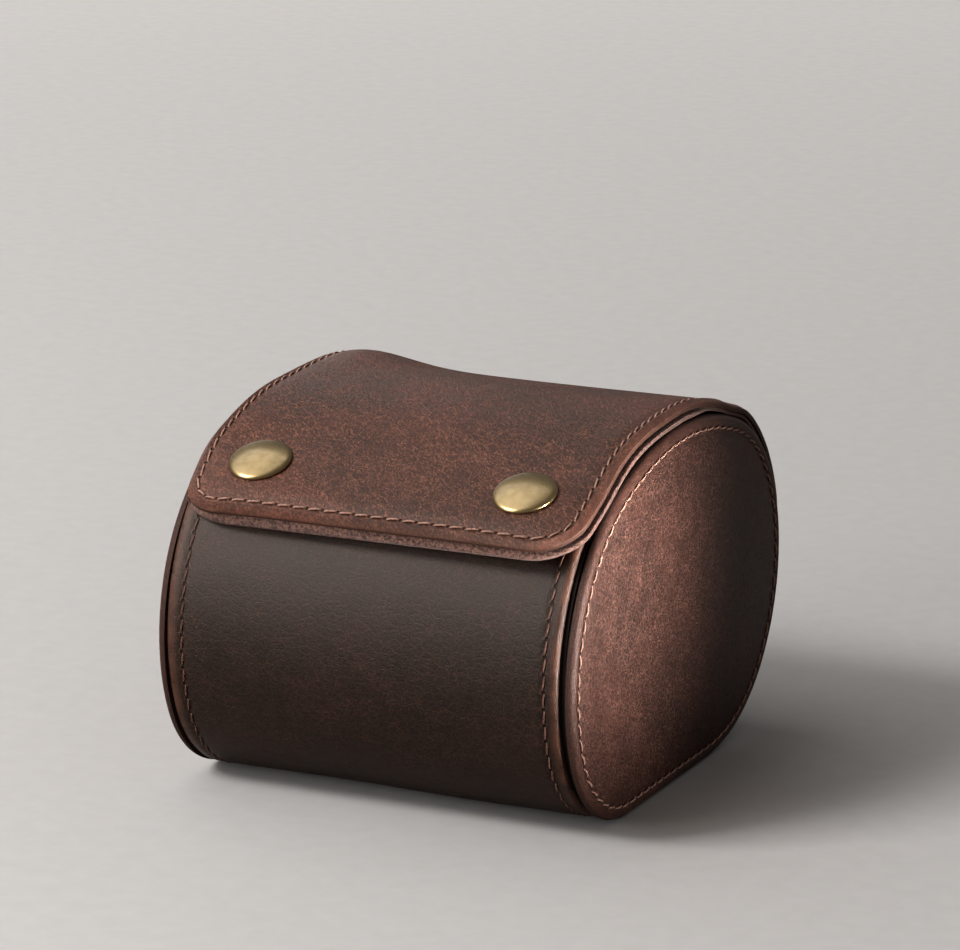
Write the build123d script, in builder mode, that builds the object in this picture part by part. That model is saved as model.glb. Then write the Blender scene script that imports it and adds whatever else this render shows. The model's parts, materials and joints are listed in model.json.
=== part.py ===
from build123d import *

import os
from dataclasses import dataclass
from math import cos, radians, sin

# A leather travel case for one wristwatch: a stitched leather tube between two end
# panels, closed over the top by a soft flap with two press snaps, and a loose cushion
# that holds the watch. X runs along the case, -Y is the front with the snaps, +Z is up.
# The origin is on the table, under the middle of the case.
#
# The profile is a chain of tangent bends in the YZ plane. A turn of 0 degrees faces
# straight down, 90 faces the front, 180 faces up and 270 faces the back.

# Driving sizes, in millimetres and degrees
CASE_LENGTH = 88.2
SOLE_FRONT_Y = -25.35

PANEL_TOE = (26.1, 67.8)
PANEL_FRONT = (37.8, 157.3)
PANEL_CROWN = (77.1, 200.8)
PANEL_BACK = (34.1, 346.1)

WRAP_TOE = (27.0, 67.8)
WRAP_FRONT = (39.0, 133.1)
WRAP_SHOULDER = (8.0, 157.0)
LIP_LENGTH = 10.2

WRAP_LEATHER = 1.8
WRAP_BOARD = 1.4
WRAP_LINING = 0.9

PANEL_LEATHER = 1.7
PANEL_BACKING = 0.6
PANEL_BACKING_INSET = 0.8
PANEL_BOARD = 1.5
PANEL_LINING = 0.9
PANEL_EDGE_RADIUS = 0.7
TUBE_CLEARANCE = 0.8

SNAP_SPACING = 56.0
SNAP_BEHIND_SHOULDER = 2.7
SNAP_TURN = 157.0

FLAP_LEATHER = 2.0
FLAP_LINING = 1.6
FLAP_GAP = 0.9
FLAP_HALF_WIDTH = 43.5
FLAP_CORNER_RADIUS = 11.0
FLAP_FLAT_AHEAD = 7.0
FLAP_FLAT_BEHIND = 12.5
FLAP_BROW_RADIUS = 14.0
FLAP_FRONT_TURN = 119.0
FLAP_CROWN_RADIUS = 74.0
FLAP_END_TURN = 198.0

ANCHOR_START_TURN = 206.0
ANCHOR_END_TURN = 262.0
HINGE_SLIT = 0.3
HINGE_LINING = 1.2

CAP_RADIUS = 6.25
CAP_RIM = 0.5
CAP_RISE = 1.6
RIVET_RADIUS = 1.5
RIVET_HOLE_RADIUS = 1.6
RIVET_FLARE_RADIUS = 2.0
RIVET_FLARE = 0.2
SOCKET_RADIUS = 5.2
SOCKET_CLEARANCE = 0.1
SOCKET_BOTTOM = 0.7
SOCKET_WEB = 0.45
SOCKET_CAVITY_RADIUS = 3.3
SPRING_WIRE_RADIUS = 0.25
SPRING_HEIGHT = 1.1
STUD_BASE_RADIUS = 4.5
STUD_BASE = 0.45
STUD_HEAD_RADIUS = 2.3
STUD_TOP = 1.5
STUD_CHAMFER = 0.3
POST_FLANGE_RADIUS = 4.2
POST_FLANGE = 0.5
POST_CLEARANCE = 0.1

CUSHION_LENGTH = 74.0
CUSHION_HALF_DEPTH = 27.0
CUSHION_HALF_HEIGHT = 23.0
CUSHION_Y = -0.5
CUSHION_CLEARANCE = 0.3
CUSHION_COVER = 1.2
CUSHION_END = 1.8
CUSHION_END_INSET = 0.6
CUSHION_EDGE_RADIUS = 0.6

WRAP_TOTAL = WRAP_LEATHER + WRAP_BOARD + WRAP_LINING
FLAP_TOTAL = FLAP_LEATHER + FLAP_LINING
HALF_LENGTH = CASE_LENGTH / 2
WRAP_HALF_LENGTH = HALF_LENGTH - PANEL_LEATHER - PANEL_BACKING
SIDES = (("left", -1), ("right", 1))


def facing(turn):
    """Return the outward direction of the profile at a turn, as a (Y, Z) vector."""
    return Vector(-sin(radians(turn)), -cos(radians(turn)))


def heading(turn):
    """Return the direction in which the profile runs on at a turn."""
    return Vector(-cos(radians(turn)), sin(radians(turn)))


@dataclass(frozen=True)
class Bend:
    """A round stretch of a profile, from one turn to a later one."""

    centre: Vector
    radius: float
    start: float
    end: float

    def then(self, radius, end):
        """Return the bend that runs on from this one, tangent to it."""
        centre = self.centre + facing(self.end) * (self.radius - radius)
        return Bend(centre, radius, self.end, end)

    def point(self, turn, offset=0.0):
        """Return the point at a turn, moved outwards by an offset."""
        return self.centre + facing(turn) * (self.radius + offset)

    def draw(self, offset=0.0):
        """Draw the bend into the current line, moved outwards by an offset."""
        CenterArc(self.centre, self.radius + offset, 270 - self.start, self.start - self.end)


# The end panels' outline: flat sole, toe, front, crown, back and heel
panel_toe = Bend(Vector(SOLE_FRONT_Y, PANEL_TOE[0]), PANEL_TOE[0], 0.0, PANEL_TOE[1])
panel_front = panel_toe.then(*PANEL_FRONT)
panel_crown = panel_front.then(*PANEL_CROWN)
panel_back = panel_crown.then(*PANEL_BACK)
heel_start = panel_back.point(panel_back.end)
HEEL_RADIUS = heel_start.Y / (1 - cos(radians(panel_back.end)))
panel_heel = panel_back.then(HEEL_RADIUS, 360.0)
PANEL_BENDS = (panel_toe, panel_front, panel_crown, panel_back, panel_heel)

# The wrap follows the panels, but stands flat under the snaps and is open on top
wrap_toe = Bend(Vector(SOLE_FRONT_Y, WRAP_TOE[0]), WRAP_TOE[0], 0.0, WRAP_TOE[1])
wrap_front = wrap_toe.then(*WRAP_FRONT)
wrap_shoulder = wrap_front.then(*WRAP_SHOULDER)
WRAP_FRONT_BENDS = (wrap_toe, wrap_front, wrap_shoulder)
WRAP_BACK_BENDS = (panel_back, panel_heel)

# Each snap's axis stands on the wrap's flat lip, and its cap sits on the flap above
FLAP_PLY = FLAP_LINING + FLAP_GAP
FLAP_OUTER = FLAP_TOTAL + FLAP_GAP
snap_axis = facing(SNAP_TURN)
snap_base = wrap_shoulder.point(SNAP_TURN) + heading(SNAP_TURN) * SNAP_BEHIND_SHOULDER

# The flap's outer surface: brow, flat stretch under the snap caps, and crown
snap_seat = snap_base + snap_axis * FLAP_OUTER
flat_start = snap_seat - heading(SNAP_TURN) * FLAP_FLAT_AHEAD
flat_end = snap_seat + heading(SNAP_TURN) * FLAP_FLAT_BEHIND
flap_brow = Bend(
    flat_start - facing(SNAP_TURN) * FLAP_BROW_RADIUS,
    FLAP_BROW_RADIUS,
    FLAP_FRONT_TURN,
    SNAP_TURN,
)
flap_crown = Bend(
    flat_end - facing(SNAP_TURN) * FLAP_CROWN_RADIUS,
    FLAP_CROWN_RADIUS,
    SNAP_TURN,
    FLAP_END_TURN,
)

# The flap's own leather is sewn down the back of the case below the fold
anchor = Bend(panel_back.centre, panel_back.radius, ANCHOR_START_TURN, ANCHOR_END_TURN)
fold_back = anchor.point(ANCHOR_START_TURN, FLAP_TOTAL)
fold_front = flap_crown.point(FLAP_END_TURN)
fold_run = (fold_front - fold_back).normalized()


def snap_plane(side, height):
    """Return the plane across one snap's axis, at a height above the wrap."""
    centre = (side * SNAP_SPACING / 2, snap_base.X, snap_base.Y)
    plane = Plane(origin=centre, x_dir=(1, 0, 0), z_dir=(0, snap_axis.X, snap_axis.Y))
    return plane.offset(height)


def drill_snaps(radius, low, high):
    """Cut one round hole along each snap's axis, between two heights."""
    for _, side in SIDES:
        with BuildSketch(snap_plane(side, low)) as hole:
            Circle(radius)
        extrude(hole.sketch, amount=high - low, mode=Mode.SUBTRACT)


def draw_panel(inset):
    """Sketch the end panels' outline, drawn in by an inset."""
    with BuildLine() as outline:
        for bend in PANEL_BENDS:
            bend.draw(-inset)
        Line(panel_heel.point(360.0, -inset), panel_toe.point(0.0, -inset))
    make_face(outline.edges())


def draw_wrap(outer, inner):
    """Sketch one ply of the wrap, between two depths below its outer surface."""
    with BuildLine() as outline:
        lips = []
        for depth in (outer, inner):
            for bend in WRAP_FRONT_BENDS + WRAP_BACK_BENDS:
                bend.draw(-depth)
            Line(panel_heel.point(360.0, -depth), wrap_toe.point(0.0, -depth))
            lip_start = wrap_shoulder.point(SNAP_TURN, -depth)
            lips.append(lip_start + heading(SNAP_TURN) * LIP_LENGTH)
            Line(lip_start, lips[-1])
        Line(*lips)
        Line(*(panel_back.point(panel_back.start, -depth) for depth in (outer, inner)))
    make_face(outline.edges())


def draw_flap(outer, inner):
    """Sketch one ply of the flap, between two depths below its outer surface."""
    with BuildLine() as outline:
        for depth in (outer, inner):
            flap_brow.draw(-depth)
            Line(flap_brow.point(SNAP_TURN, -depth), flap_crown.point(SNAP_TURN, -depth))
            flap_crown.draw(-depth)
        Line(*(flap_brow.point(FLAP_FRONT_TURN, -depth) for depth in (outer, inner)))
        Line(*(flap_crown.point(FLAP_END_TURN, -depth) for depth in (outer, inner)))
    make_face(outline.edges())


def draw_anchor(inner, outer):
    """Sketch one ply of the flap's sewn-down end, between two heights off the wrap."""
    with BuildLine() as outline:
        for height in (inner, outer):
            anchor.draw(height)
        for turn in (ANCHOR_START_TURN, ANCHOR_END_TURN):
            Line(anchor.point(turn, inner), anchor.point(turn, outer))
    make_face(outline.edges())


def draw_fold(outer, inner):
    """Sketch one ply of the fold between the flap and its sewn-down end."""
    front = fold_front - fold_run * HINGE_SLIT
    back = fold_back + fold_run * HINGE_SLIT
    with BuildLine() as outline:
        Polyline(
            front - facing(FLAP_END_TURN) * outer,
            back - facing(ANCHOR_START_TURN) * outer,
            back - facing(ANCHOR_START_TURN) * inner,
            front - facing(FLAP_END_TURN) * inner,
            close=True,
        )
    make_face(outline.edges())


def round_flap_corners():
    """Cut the flap's two front corners round, square to the middle of its brow."""
    middle = (FLAP_FRONT_TURN + SNAP_TURN) / 2
    tip = flap_brow.point(FLAP_FRONT_TURN)
    along = facing(middle)
    plane = Plane(origin=(0, tip.X, tip.Y), x_dir=(1, 0, 0), z_dir=(0, along.X, along.Y))
    centre_x = FLAP_HALF_WIDTH - FLAP_CORNER_RADIUS
    with BuildSketch(plane) as corners:
        for _, side in SIDES:
            with Locations((side * (centre_x + FLAP_CORNER_RADIUS), 0)):
                Rectangle(2 * FLAP_CORNER_RADIUS, 2 * FLAP_CORNER_RADIUS)
        for _, side in SIDES:
            with Locations((side * centre_x, FLAP_CORNER_RADIUS)):
                Circle(FLAP_CORNER_RADIUS, mode=Mode.SUBTRACT)
    extrude(corners.sketch, amount=FLAP_BROW_RADIUS, both=True, mode=Mode.SUBTRACT)


def save(piece, name):
    """Label a finished piece and write it to its own file."""
    piece.part.label = name
    export_step(piece.part, f"parts/{name}.step")


os.makedirs("parts", exist_ok=True)

# Wrap: outer leather, stiffening board and inner lining
with BuildPart() as wrap_leather:
    with BuildSketch(Plane.YZ):
        draw_wrap(0.0, WRAP_LEATHER)
    extrude(amount=WRAP_HALF_LENGTH, both=True)
    drill_snaps(RIVET_HOLE_RADIUS, -WRAP_TOTAL, FLAP_GAP)
save(wrap_leather, "wrap_leather")

with BuildPart() as wrap_board:
    with BuildSketch(Plane.YZ):
        draw_wrap(WRAP_LEATHER, WRAP_LEATHER + WRAP_BOARD)
    extrude(amount=WRAP_HALF_LENGTH, both=True)
    drill_snaps(RIVET_HOLE_RADIUS, -WRAP_TOTAL, FLAP_GAP)
save(wrap_board, "wrap_board")

with BuildPart() as wrap_lining:
    with BuildSketch(Plane.YZ):
        draw_wrap(WRAP_LEATHER + WRAP_BOARD, WRAP_TOTAL)
    extrude(amount=WRAP_HALF_LENGTH, both=True)
    drill_snaps(RIVET_HOLE_RADIUS, -WRAP_TOTAL, FLAP_GAP)
    drill_snaps(POST_FLANGE_RADIUS + POST_CLEARANCE, -WRAP_TOTAL - POST_FLANGE, -WRAP_TOTAL)
save(wrap_lining, "wrap_lining")

# End panels: rounded leather disc, its backing, and a lined board that plugs the tube
for name, side in SIDES:
    with BuildPart() as end_leather:
        with BuildSketch(Plane.YZ.offset(side * HALF_LENGTH)):
            draw_panel(0.0)
        extrude(amount=-side * PANEL_LEATHER)
        rims = end_leather.faces().filter_by(Axis.X).edges()
        fillet(rims, PANEL_EDGE_RADIUS)
    save(end_leather, f"{name}_end_leather")

    with BuildPart() as end_backing:
        with BuildSketch(Plane.YZ.offset(side * WRAP_HALF_LENGTH)):
            draw_panel(PANEL_BACKING_INSET)
        extrude(amount=side * PANEL_BACKING)
    save(end_backing, f"{name}_end_backing")

    with BuildPart() as end_board:
        with BuildSketch(Plane.YZ.offset(side * WRAP_HALF_LENGTH)):
            draw_panel(WRAP_TOTAL + TUBE_CLEARANCE)
        extrude(amount=-side * PANEL_BOARD)
    save(end_board, f"{name}_end_board")

    with BuildPart() as end_lining:
        with BuildSketch(Plane.YZ.offset(side * (WRAP_HALF_LENGTH - PANEL_BOARD))):
            draw_panel(WRAP_TOTAL + TUBE_CLEARANCE)
        extrude(amount=-side * PANEL_LINING)
    save(end_lining, f"{name}_end_lining")

# Flap: leather over a suede lining, with rounded front corners
with BuildPart() as flap_leather:
    with BuildSketch(Plane.YZ):
        draw_flap(0.0, FLAP_LEATHER)
    extrude(amount=FLAP_HALF_WIDTH, both=True)
    round_flap_corners()
    drill_snaps(RIVET_HOLE_RADIUS, 0.0, FLAP_OUTER)
save(flap_leather, "flap_leather")

with BuildPart() as flap_lining:
    with BuildSketch(Plane.YZ):
        draw_flap(FLAP_LEATHER, FLAP_TOTAL)
    extrude(amount=FLAP_HALF_WIDTH, both=True)
    round_flap_corners()
    drill_snaps(SOCKET_RADIUS + SOCKET_CLEARANCE, 0.0, FLAP_PLY)
save(flap_lining, "flap_lining")

# Fold: the stretch of the flap that bends when it opens
with BuildPart() as fold_leather:
    with BuildSketch(Plane.YZ):
        draw_fold(0.0, FLAP_LEATHER)
    extrude(amount=FLAP_HALF_WIDTH, both=True)
save(fold_leather, "fold_leather")

with BuildPart() as fold_lining:
    with BuildSketch(Plane.YZ):
        draw_fold(FLAP_LEATHER, FLAP_LEATHER + HINGE_LINING)
    extrude(amount=FLAP_HALF_WIDTH, both=True)
save(fold_lining, "fold_lining")

# Anchor: the flap's end, glued and sewn down the back of the wrap
with BuildPart() as anchor_leather:
    with BuildSketch(Plane.YZ):
        draw_anchor(FLAP_LINING, FLAP_TOTAL)
    extrude(amount=FLAP_HALF_WIDTH, both=True)
save(anchor_leather, "anchor_leather")

with BuildPart() as anchor_lining:
    with BuildSketch(Plane.YZ):
        draw_anchor(0.0, FLAP_LINING)
    extrude(amount=FLAP_HALF_WIDTH, both=True)
save(anchor_lining, "anchor_lining")

# Snaps: a domed cap riveted through the flap into a socket that holds a ring spring,
# and a stud held on the wrap by a post from inside
for name, side in SIDES:
    with BuildPart() as snap_cap:
        with BuildSketch(snap_plane(side, FLAP_OUTER)):
            Circle(CAP_RADIUS)
        extrude(amount=CAP_RIM)
        dome_radius = (CAP_RADIUS**2 + (CAP_RISE - CAP_RIM) ** 2) / (2 * (CAP_RISE - CAP_RIM))
        dome_foot = snap_plane(side, FLAP_OUTER + CAP_RIM)
        dome_plane = Plane(dome_foot.origin, x_dir=dome_foot.x_dir, z_dir=-dome_foot.y_dir)
        with BuildSketch(dome_plane):
            with BuildLine():
                Line((0, 0), (CAP_RADIUS, 0))
                RadiusArc((CAP_RADIUS, 0), (0, CAP_RISE - CAP_RIM), -dome_radius)
                Line((0, CAP_RISE - CAP_RIM), (0, 0))
            make_face()
        revolve(axis=Axis(dome_foot.origin, dome_foot.z_dir))
        with BuildSketch(snap_plane(side, FLAP_PLY - SOCKET_WEB)):
            Circle(RIVET_RADIUS)
        extrude(amount=FLAP_LEATHER + SOCKET_WEB)
        with BuildSketch(snap_plane(side, FLAP_PLY - SOCKET_WEB - RIVET_FLARE)):
            Circle(RIVET_FLARE_RADIUS)
        extrude(amount=RIVET_FLARE)
    save(snap_cap, f"{name}_snap_cap")

    with BuildPart() as snap_socket:
        with BuildSketch(snap_plane(side, SOCKET_BOTTOM)):
            Circle(SOCKET_RADIUS)
        extrude(amount=FLAP_PLY - SOCKET_BOTTOM)
        with BuildSketch(snap_plane(side, SOCKET_BOTTOM)):
            Circle(SOCKET_CAVITY_RADIUS)
        extrude(amount=FLAP_PLY - SOCKET_BOTTOM - SOCKET_WEB, mode=Mode.SUBTRACT)
        with BuildSketch(snap_plane(side, SOCKET_BOTTOM)):
            Circle(RIVET_RADIUS)
        extrude(amount=FLAP_PLY - SOCKET_BOTTOM, mode=Mode.SUBTRACT)
    save(snap_socket, f"{name}_snap_socket")

    with BuildPart() as snap_spring:
        ring_frame = snap_plane(side, SPRING_HEIGHT)
        wire_plane = Plane(ring_frame.origin, x_dir=ring_frame.x_dir, z_dir=-ring_frame.y_dir)
        with BuildSketch(wire_plane):
            with Locations((SOCKET_CAVITY_RADIUS - SPRING_WIRE_RADIUS, 0)):
                Circle(SPRING_WIRE_RADIUS)
        revolve(axis=Axis(ring_frame.origin, ring_frame.z_dir))
    save(snap_spring, f"{name}_snap_spring")

    with BuildPart() as snap_stud:
        with BuildSketch(snap_plane(side, 0.0)):
            Circle(STUD_BASE_RADIUS)
        extrude(amount=STUD_BASE)
        with BuildSketch(snap_plane(side, STUD_BASE)):
            Circle(STUD_HEAD_RADIUS)
        extrude(amount=STUD_TOP - STUD_BASE)
        snap_line = Axis(snap_plane(side, 0.0).origin, snap_plane(side, 0.0).z_dir)
        top_rim = snap_stud.edges().filter_by(GeomType.CIRCLE).sort_by(snap_line)[-1]
        chamfer(top_rim, STUD_CHAMFER)
        with BuildSketch(snap_plane(side, 0.0)):
            Circle(RIVET_RADIUS)
        extrude(amount=STUD_BASE, mode=Mode.SUBTRACT)
    save(snap_stud, f"{name}_snap_stud")

    with BuildPart() as snap_post:
        with BuildSketch(snap_plane(side, -WRAP_TOTAL - POST_FLANGE)):
            Circle(POST_FLANGE_RADIUS)
        extrude(amount=POST_FLANGE)
        with BuildSketch(snap_plane(side, -WRAP_TOTAL)):
            Circle(RIVET_RADIUS)
        extrude(amount=WRAP_TOTAL + STUD_BASE)
    save(snap_post, f"{name}_snap_post")

# Cushion: foam roll in a soft cover, closed by two stiff ends
cushion_z = WRAP_TOTAL + CUSHION_CLEARANCE + CUSHION_HALF_HEIGHT
cushion_half_body = CUSHION_LENGTH / 2 - CUSHION_END

with BuildPart() as cushion_core:
    with BuildSketch(Plane.YZ):
        with Locations((CUSHION_Y, cushion_z)):
            Ellipse(CUSHION_HALF_DEPTH - CUSHION_COVER, CUSHION_HALF_HEIGHT - CUSHION_COVER)
    extrude(amount=cushion_half_body, both=True)
save(cushion_core, "cushion_core")

with BuildPart() as cushion_cover:
    with BuildSketch(Plane.YZ):
        with Locations((CUSHION_Y, cushion_z)):
            Ellipse(CUSHION_HALF_DEPTH, CUSHION_HALF_HEIGHT)
            Ellipse(
                CUSHION_HALF_DEPTH - CUSHION_COVER,
                CUSHION_HALF_HEIGHT - CUSHION_COVER,
                mode=Mode.SUBTRACT,
            )
    extrude(amount=cushion_half_body, both=True)
save(cushion_cover, "cushion_cover")

for name, side in SIDES:
    with BuildPart() as cushion_end:
        with BuildSketch(Plane.YZ.offset(side * cushion_half_body)):
            with Locations((CUSHION_Y, cushion_z)):
                Ellipse(
                    CUSHION_HALF_DEPTH - CUSHION_END_INSET,
                    CUSHION_HALF_HEIGHT - CUSHION_END_INSET,
                )
        extrude(amount=side * CUSHION_END)
        outer_face = cushion_end.faces().sort_by(Axis.X)[-1 if side > 0 else 0]
        fillet(outer_face.edges(), CUSHION_EDGE_RADIUS)
    save(cushion_end, f"cushion_{name}_end")
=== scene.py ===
"""Dresses the leather travel case: hides, linings, threads, press snaps and the watch cushion.

Sizes are in millimetres and degrees; meshes are in metres. X runs along the case, the
front with the snaps faces -Y, and Z is up. Every hide is cut flat, finished at its edges,
and then formed over the case's profile, as the maker does it.
"""

import json
import logging
from collections.abc import Callable, Iterator
from contextlib import contextmanager
from dataclasses import dataclass, field
from enum import Enum
from math import acos, cos, degrees, hypot, pi, radians, sin

import bpy
import numpy as np
from mathutils import Matrix, Vector


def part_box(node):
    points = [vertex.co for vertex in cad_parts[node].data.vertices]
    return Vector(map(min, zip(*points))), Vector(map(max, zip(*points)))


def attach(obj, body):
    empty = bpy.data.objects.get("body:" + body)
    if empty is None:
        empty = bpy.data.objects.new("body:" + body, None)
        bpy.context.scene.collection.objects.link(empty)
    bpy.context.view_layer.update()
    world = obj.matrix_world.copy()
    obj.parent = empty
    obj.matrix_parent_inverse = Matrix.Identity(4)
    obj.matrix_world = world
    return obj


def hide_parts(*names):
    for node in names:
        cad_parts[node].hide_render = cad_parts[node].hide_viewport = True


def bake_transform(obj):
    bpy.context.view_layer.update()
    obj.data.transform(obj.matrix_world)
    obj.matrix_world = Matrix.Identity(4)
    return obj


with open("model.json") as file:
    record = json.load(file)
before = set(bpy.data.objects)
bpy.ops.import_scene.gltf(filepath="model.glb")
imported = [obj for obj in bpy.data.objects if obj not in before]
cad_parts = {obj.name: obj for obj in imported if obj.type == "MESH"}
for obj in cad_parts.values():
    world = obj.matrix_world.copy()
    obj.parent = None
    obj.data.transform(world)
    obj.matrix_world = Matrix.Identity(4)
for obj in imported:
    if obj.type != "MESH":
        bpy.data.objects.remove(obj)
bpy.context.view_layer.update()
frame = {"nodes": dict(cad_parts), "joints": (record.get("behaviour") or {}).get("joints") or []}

log = logging.getLogger("travel_case")

MM = 0.001
TIE = 1e-6
TINY = 1e-9
SIDES = (("left", -1.0), ("right", 1.0))
ALONG = Vector((1.0, 0.0, 0.0))
SMOOTH = {"interpolation_type": "SMOOTHSTEP"}
Piece = bpy.types.Object
Tree = bpy.types.NodeTree
Socket = bpy.types.NodeSocket
Relief = Callable[[np.ndarray, np.ndarray, np.ndarray], np.ndarray]
Pick = Callable[[Vector], bool]


# ---------------------------------------------------------------- lines and forming


@dataclass(frozen=True)
class Stretch:
    """A straight or evenly bent stretch of a line in a plane."""

    start: tuple[float, float]
    heading: float
    length: float
    curve: float

    def at(self, run: np.ndarray) -> tuple[np.ndarray, np.ndarray]:
        """Find places along the stretch.

        Args:
            run: distances from the stretch's start, in mm.

        Returns:
            The points, one row each, and the headings there in radians.
        """
        heading = self.heading + self.curve * run
        if self.curve == 0.0:
            across = run * cos(self.heading)
            up = run * sin(self.heading)
        else:
            across = (np.sin(heading) - sin(self.heading)) / self.curve
            up = (cos(self.heading) - np.cos(heading)) / self.curve
        return np.stack([self.start[0] + across, self.start[1] + up], -1), heading

    def nearest(self, points: np.ndarray) -> np.ndarray:
        """Find the distance along the stretch that lies closest to each point.

        Args:
            points: points in the plane, one row each.

        Returns:
            Distances from the stretch's start, held within its length.
        """
        away = points - np.array(self.start)
        if self.curve == 0.0:
            run = away[:, 0] * cos(self.heading) + away[:, 1] * sin(self.heading)
        else:
            radius = 1.0 / self.curve
            centre = np.array([-sin(self.heading), cos(self.heading)]) * radius
            spoke = (away - centre) * np.sign(radius)
            angle = np.arctan2(spoke[:, 0], -spoke[:, 1]) - self.heading
            middle = self.curve * self.length / 2
            angle = (angle - middle + pi) % (2 * pi) - pi + middle
            run = angle / self.curve
        return np.clip(run, 0.0, self.length)


@dataclass
class Track:
    """A line in a plane, made of stretches that run on from each other without a corner."""

    start: tuple[float, float]
    heading: float
    stretches: list[Stretch] = field(default_factory=list)

    def _add(self, length: float, curve: float) -> "Track":
        """Add one stretch where the track ends, and return the track.

        Args:
            length: its length in mm.
            curve: 1 over its radius, above 0 to the left.

        Returns:
            The track itself.
        """
        tip, heading = self.start, radians(self.heading)
        if self.stretches:
            last = self.stretches[-1]
            point, turned = last.at(np.array([last.length]))
            tip, heading = tuple(point[0]), float(turned[0])
        self.stretches.append(Stretch(tip, heading, length, curve))
        return self

    def line(self, length: float) -> "Track":
        """Run straight on for a length in mm."""
        return self._add(length, 0.0)

    def arc(self, radius: float, sweep: float) -> "Track":
        """Bend on a radius in mm through a sweep in degrees, to the left if positive."""
        return self._add(radius * abs(radians(sweep)), (1 if sweep > 0 else -1) / radius)

    @property
    def length(self) -> float:
        """The whole length in mm."""
        return sum(stretch.length for stretch in self.stretches)

    @property
    def tip(self) -> Vector:
        """The point where the track ends."""
        point, _ = self.at(np.array([self.length]))
        return Vector(point[0])

    def at(self, run: np.ndarray) -> tuple[np.ndarray, np.ndarray]:
        """Find places along the track; past its ends the end stretches run on.

        Args:
            run: distances from the track's start, in mm.

        Returns:
            The points, one row each, and the headings there in radians.
        """
        run = np.asarray(run, float)
        points, headings = np.zeros(run.shape + (2,)), np.zeros(run.shape)
        begin = 0.0
        for stretch in self.stretches:
            chosen = (run >= begin) | (stretch is self.stretches[0])
            points[chosen], headings[chosen] = stretch.at(run[chosen] - begin)
            begin += stretch.length
        return points, headings

    def locate(self, points: np.ndarray) -> tuple[np.ndarray, np.ndarray]:
        """Measure points against the track.

        Args:
            points: points in the track's plane, one row each.

        Returns:
            How far along the track each point lies, and how far to its left.
        """
        runs = np.zeros(len(points))
        lefts = np.full(len(points), np.inf)
        begin = 0.0
        for stretch in self.stretches:
            run = stretch.nearest(points)
            foot, heading = stretch.at(run)
            away = points - foot
            side = np.cos(heading) * away[:, 1] - np.sin(heading) * away[:, 0]
            left = np.where(side < 0, -1, 1) * np.hypot(away[:, 0], away[:, 1])
            closer = np.abs(left) < np.abs(lefts) - TIE
            runs[closer], lefts[closer] = run[closer] + begin, left[closer]
            begin += stretch.length
        return runs, lefts


@dataclass(frozen=True)
class Profile:
    """The case's section that a flat piece is formed over: flat length runs along it."""

    track: Track
    outward: float

    def form(self, piece: Piece, relief: Relief) -> None:
        """Bend a flat piece over the profile.

        Args:
            piece: flat piece, X across, Y along the profile and Z up from it.
            relief: gives each point's height over the profile from its flat place in mm.
        """
        flat = read_places(piece)
        height = relief(flat[:, 0], flat[:, 1], flat[:, 2])
        point, heading = self.track.at(flat[:, 1])
        out = np.stack([-np.sin(heading), np.cos(heading)], -1) * self.outward
        section = point + out * height[:, None]
        write_places(piece, np.column_stack([flat[:, 0], section]))


def read_places(piece: Piece) -> np.ndarray:
    """Read a piece's points in mm, one row each.

    Args:
        piece: the piece to read.

    Returns:
        The places.
    """
    places = np.zeros(len(piece.data.vertices) * 3)
    piece.data.vertices.foreach_get("co", places)
    return places.reshape(-1, 3) / MM


def write_places(piece: Piece, places: np.ndarray) -> None:
    """Write a piece's points from places in mm, one row each."""
    piece.data.vertices.foreach_set("co", (places * MM).ravel())
    piece.data.update()


# ---------------------------------------------------------------- bench work


def only(piece: Piece) -> None:
    """Deselect everything, then select one piece and make it active.

    Args:
        piece: the piece to select.
    """
    bpy.ops.object.select_all(action="DESELECT")
    piece.select_set(True)
    bpy.context.view_layer.objects.active = piece


@contextmanager
def editing(piece: Piece, kind: str, pick: Pick | None = None) -> Iterator[None]:
    """Open a piece in edit mode with some of it selected, and close it afterwards.

    Args:
        piece: the piece to edit.
        kind: VERT, EDGE or FACE.
        pick: tells from a face's or vertex's place in mm whether it is selected; without
            it, all of the piece is.

    Returns:
        A context in which edit operators act on the selection.
    """
    only(piece)
    bpy.ops.object.mode_set(mode="EDIT")
    bpy.ops.mesh.select_mode(type=kind)
    bpy.ops.mesh.select_all(action="DESELECT" if pick else "SELECT")
    if pick:
        bpy.ops.object.mode_set(mode="OBJECT")
        if kind == "FACE":
            for face in piece.data.polygons:
                face.select = pick(face.center / MM)
        else:
            for vertex in piece.data.vertices:
                vertex.select = pick(vertex.co / MM)
        bpy.ops.object.mode_set(mode="EDIT")
    yield
    bpy.ops.object.mode_set(mode="OBJECT")


def name_piece(piece: Piece, name: str) -> Piece:
    """Name a piece and its mesh, and return it.

    Args:
        piece: the piece.
        name: its new name.

    Returns:
        The same piece.
    """
    piece.name = name
    piece.data.name = name
    return piece


def start_piece(name: str, kind: str, **settings: object) -> Piece:
    """Start a piece from a primitive mesh.

    Args:
        name: the piece's name.
        kind: the primitive, such as circle or grid.
        settings: the primitive's own settings by name.

    Returns:
        The piece, selected alone.
    """
    bpy.ops.object.select_all(action="DESELECT")
    getattr(bpy.ops.mesh, f"primitive_{kind}_add")(**settings)
    return name_piece(bpy.context.active_object, name)


def frame_at(spot: Vector, along: Vector, out: Vector) -> Matrix:
    """Make a frame at a spot in mm, with X along one direction and Z out along another."""
    return Matrix.Translation(spot * MM) @ Matrix((along, out.cross(along), out)).transposed().to_4x4()


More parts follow.
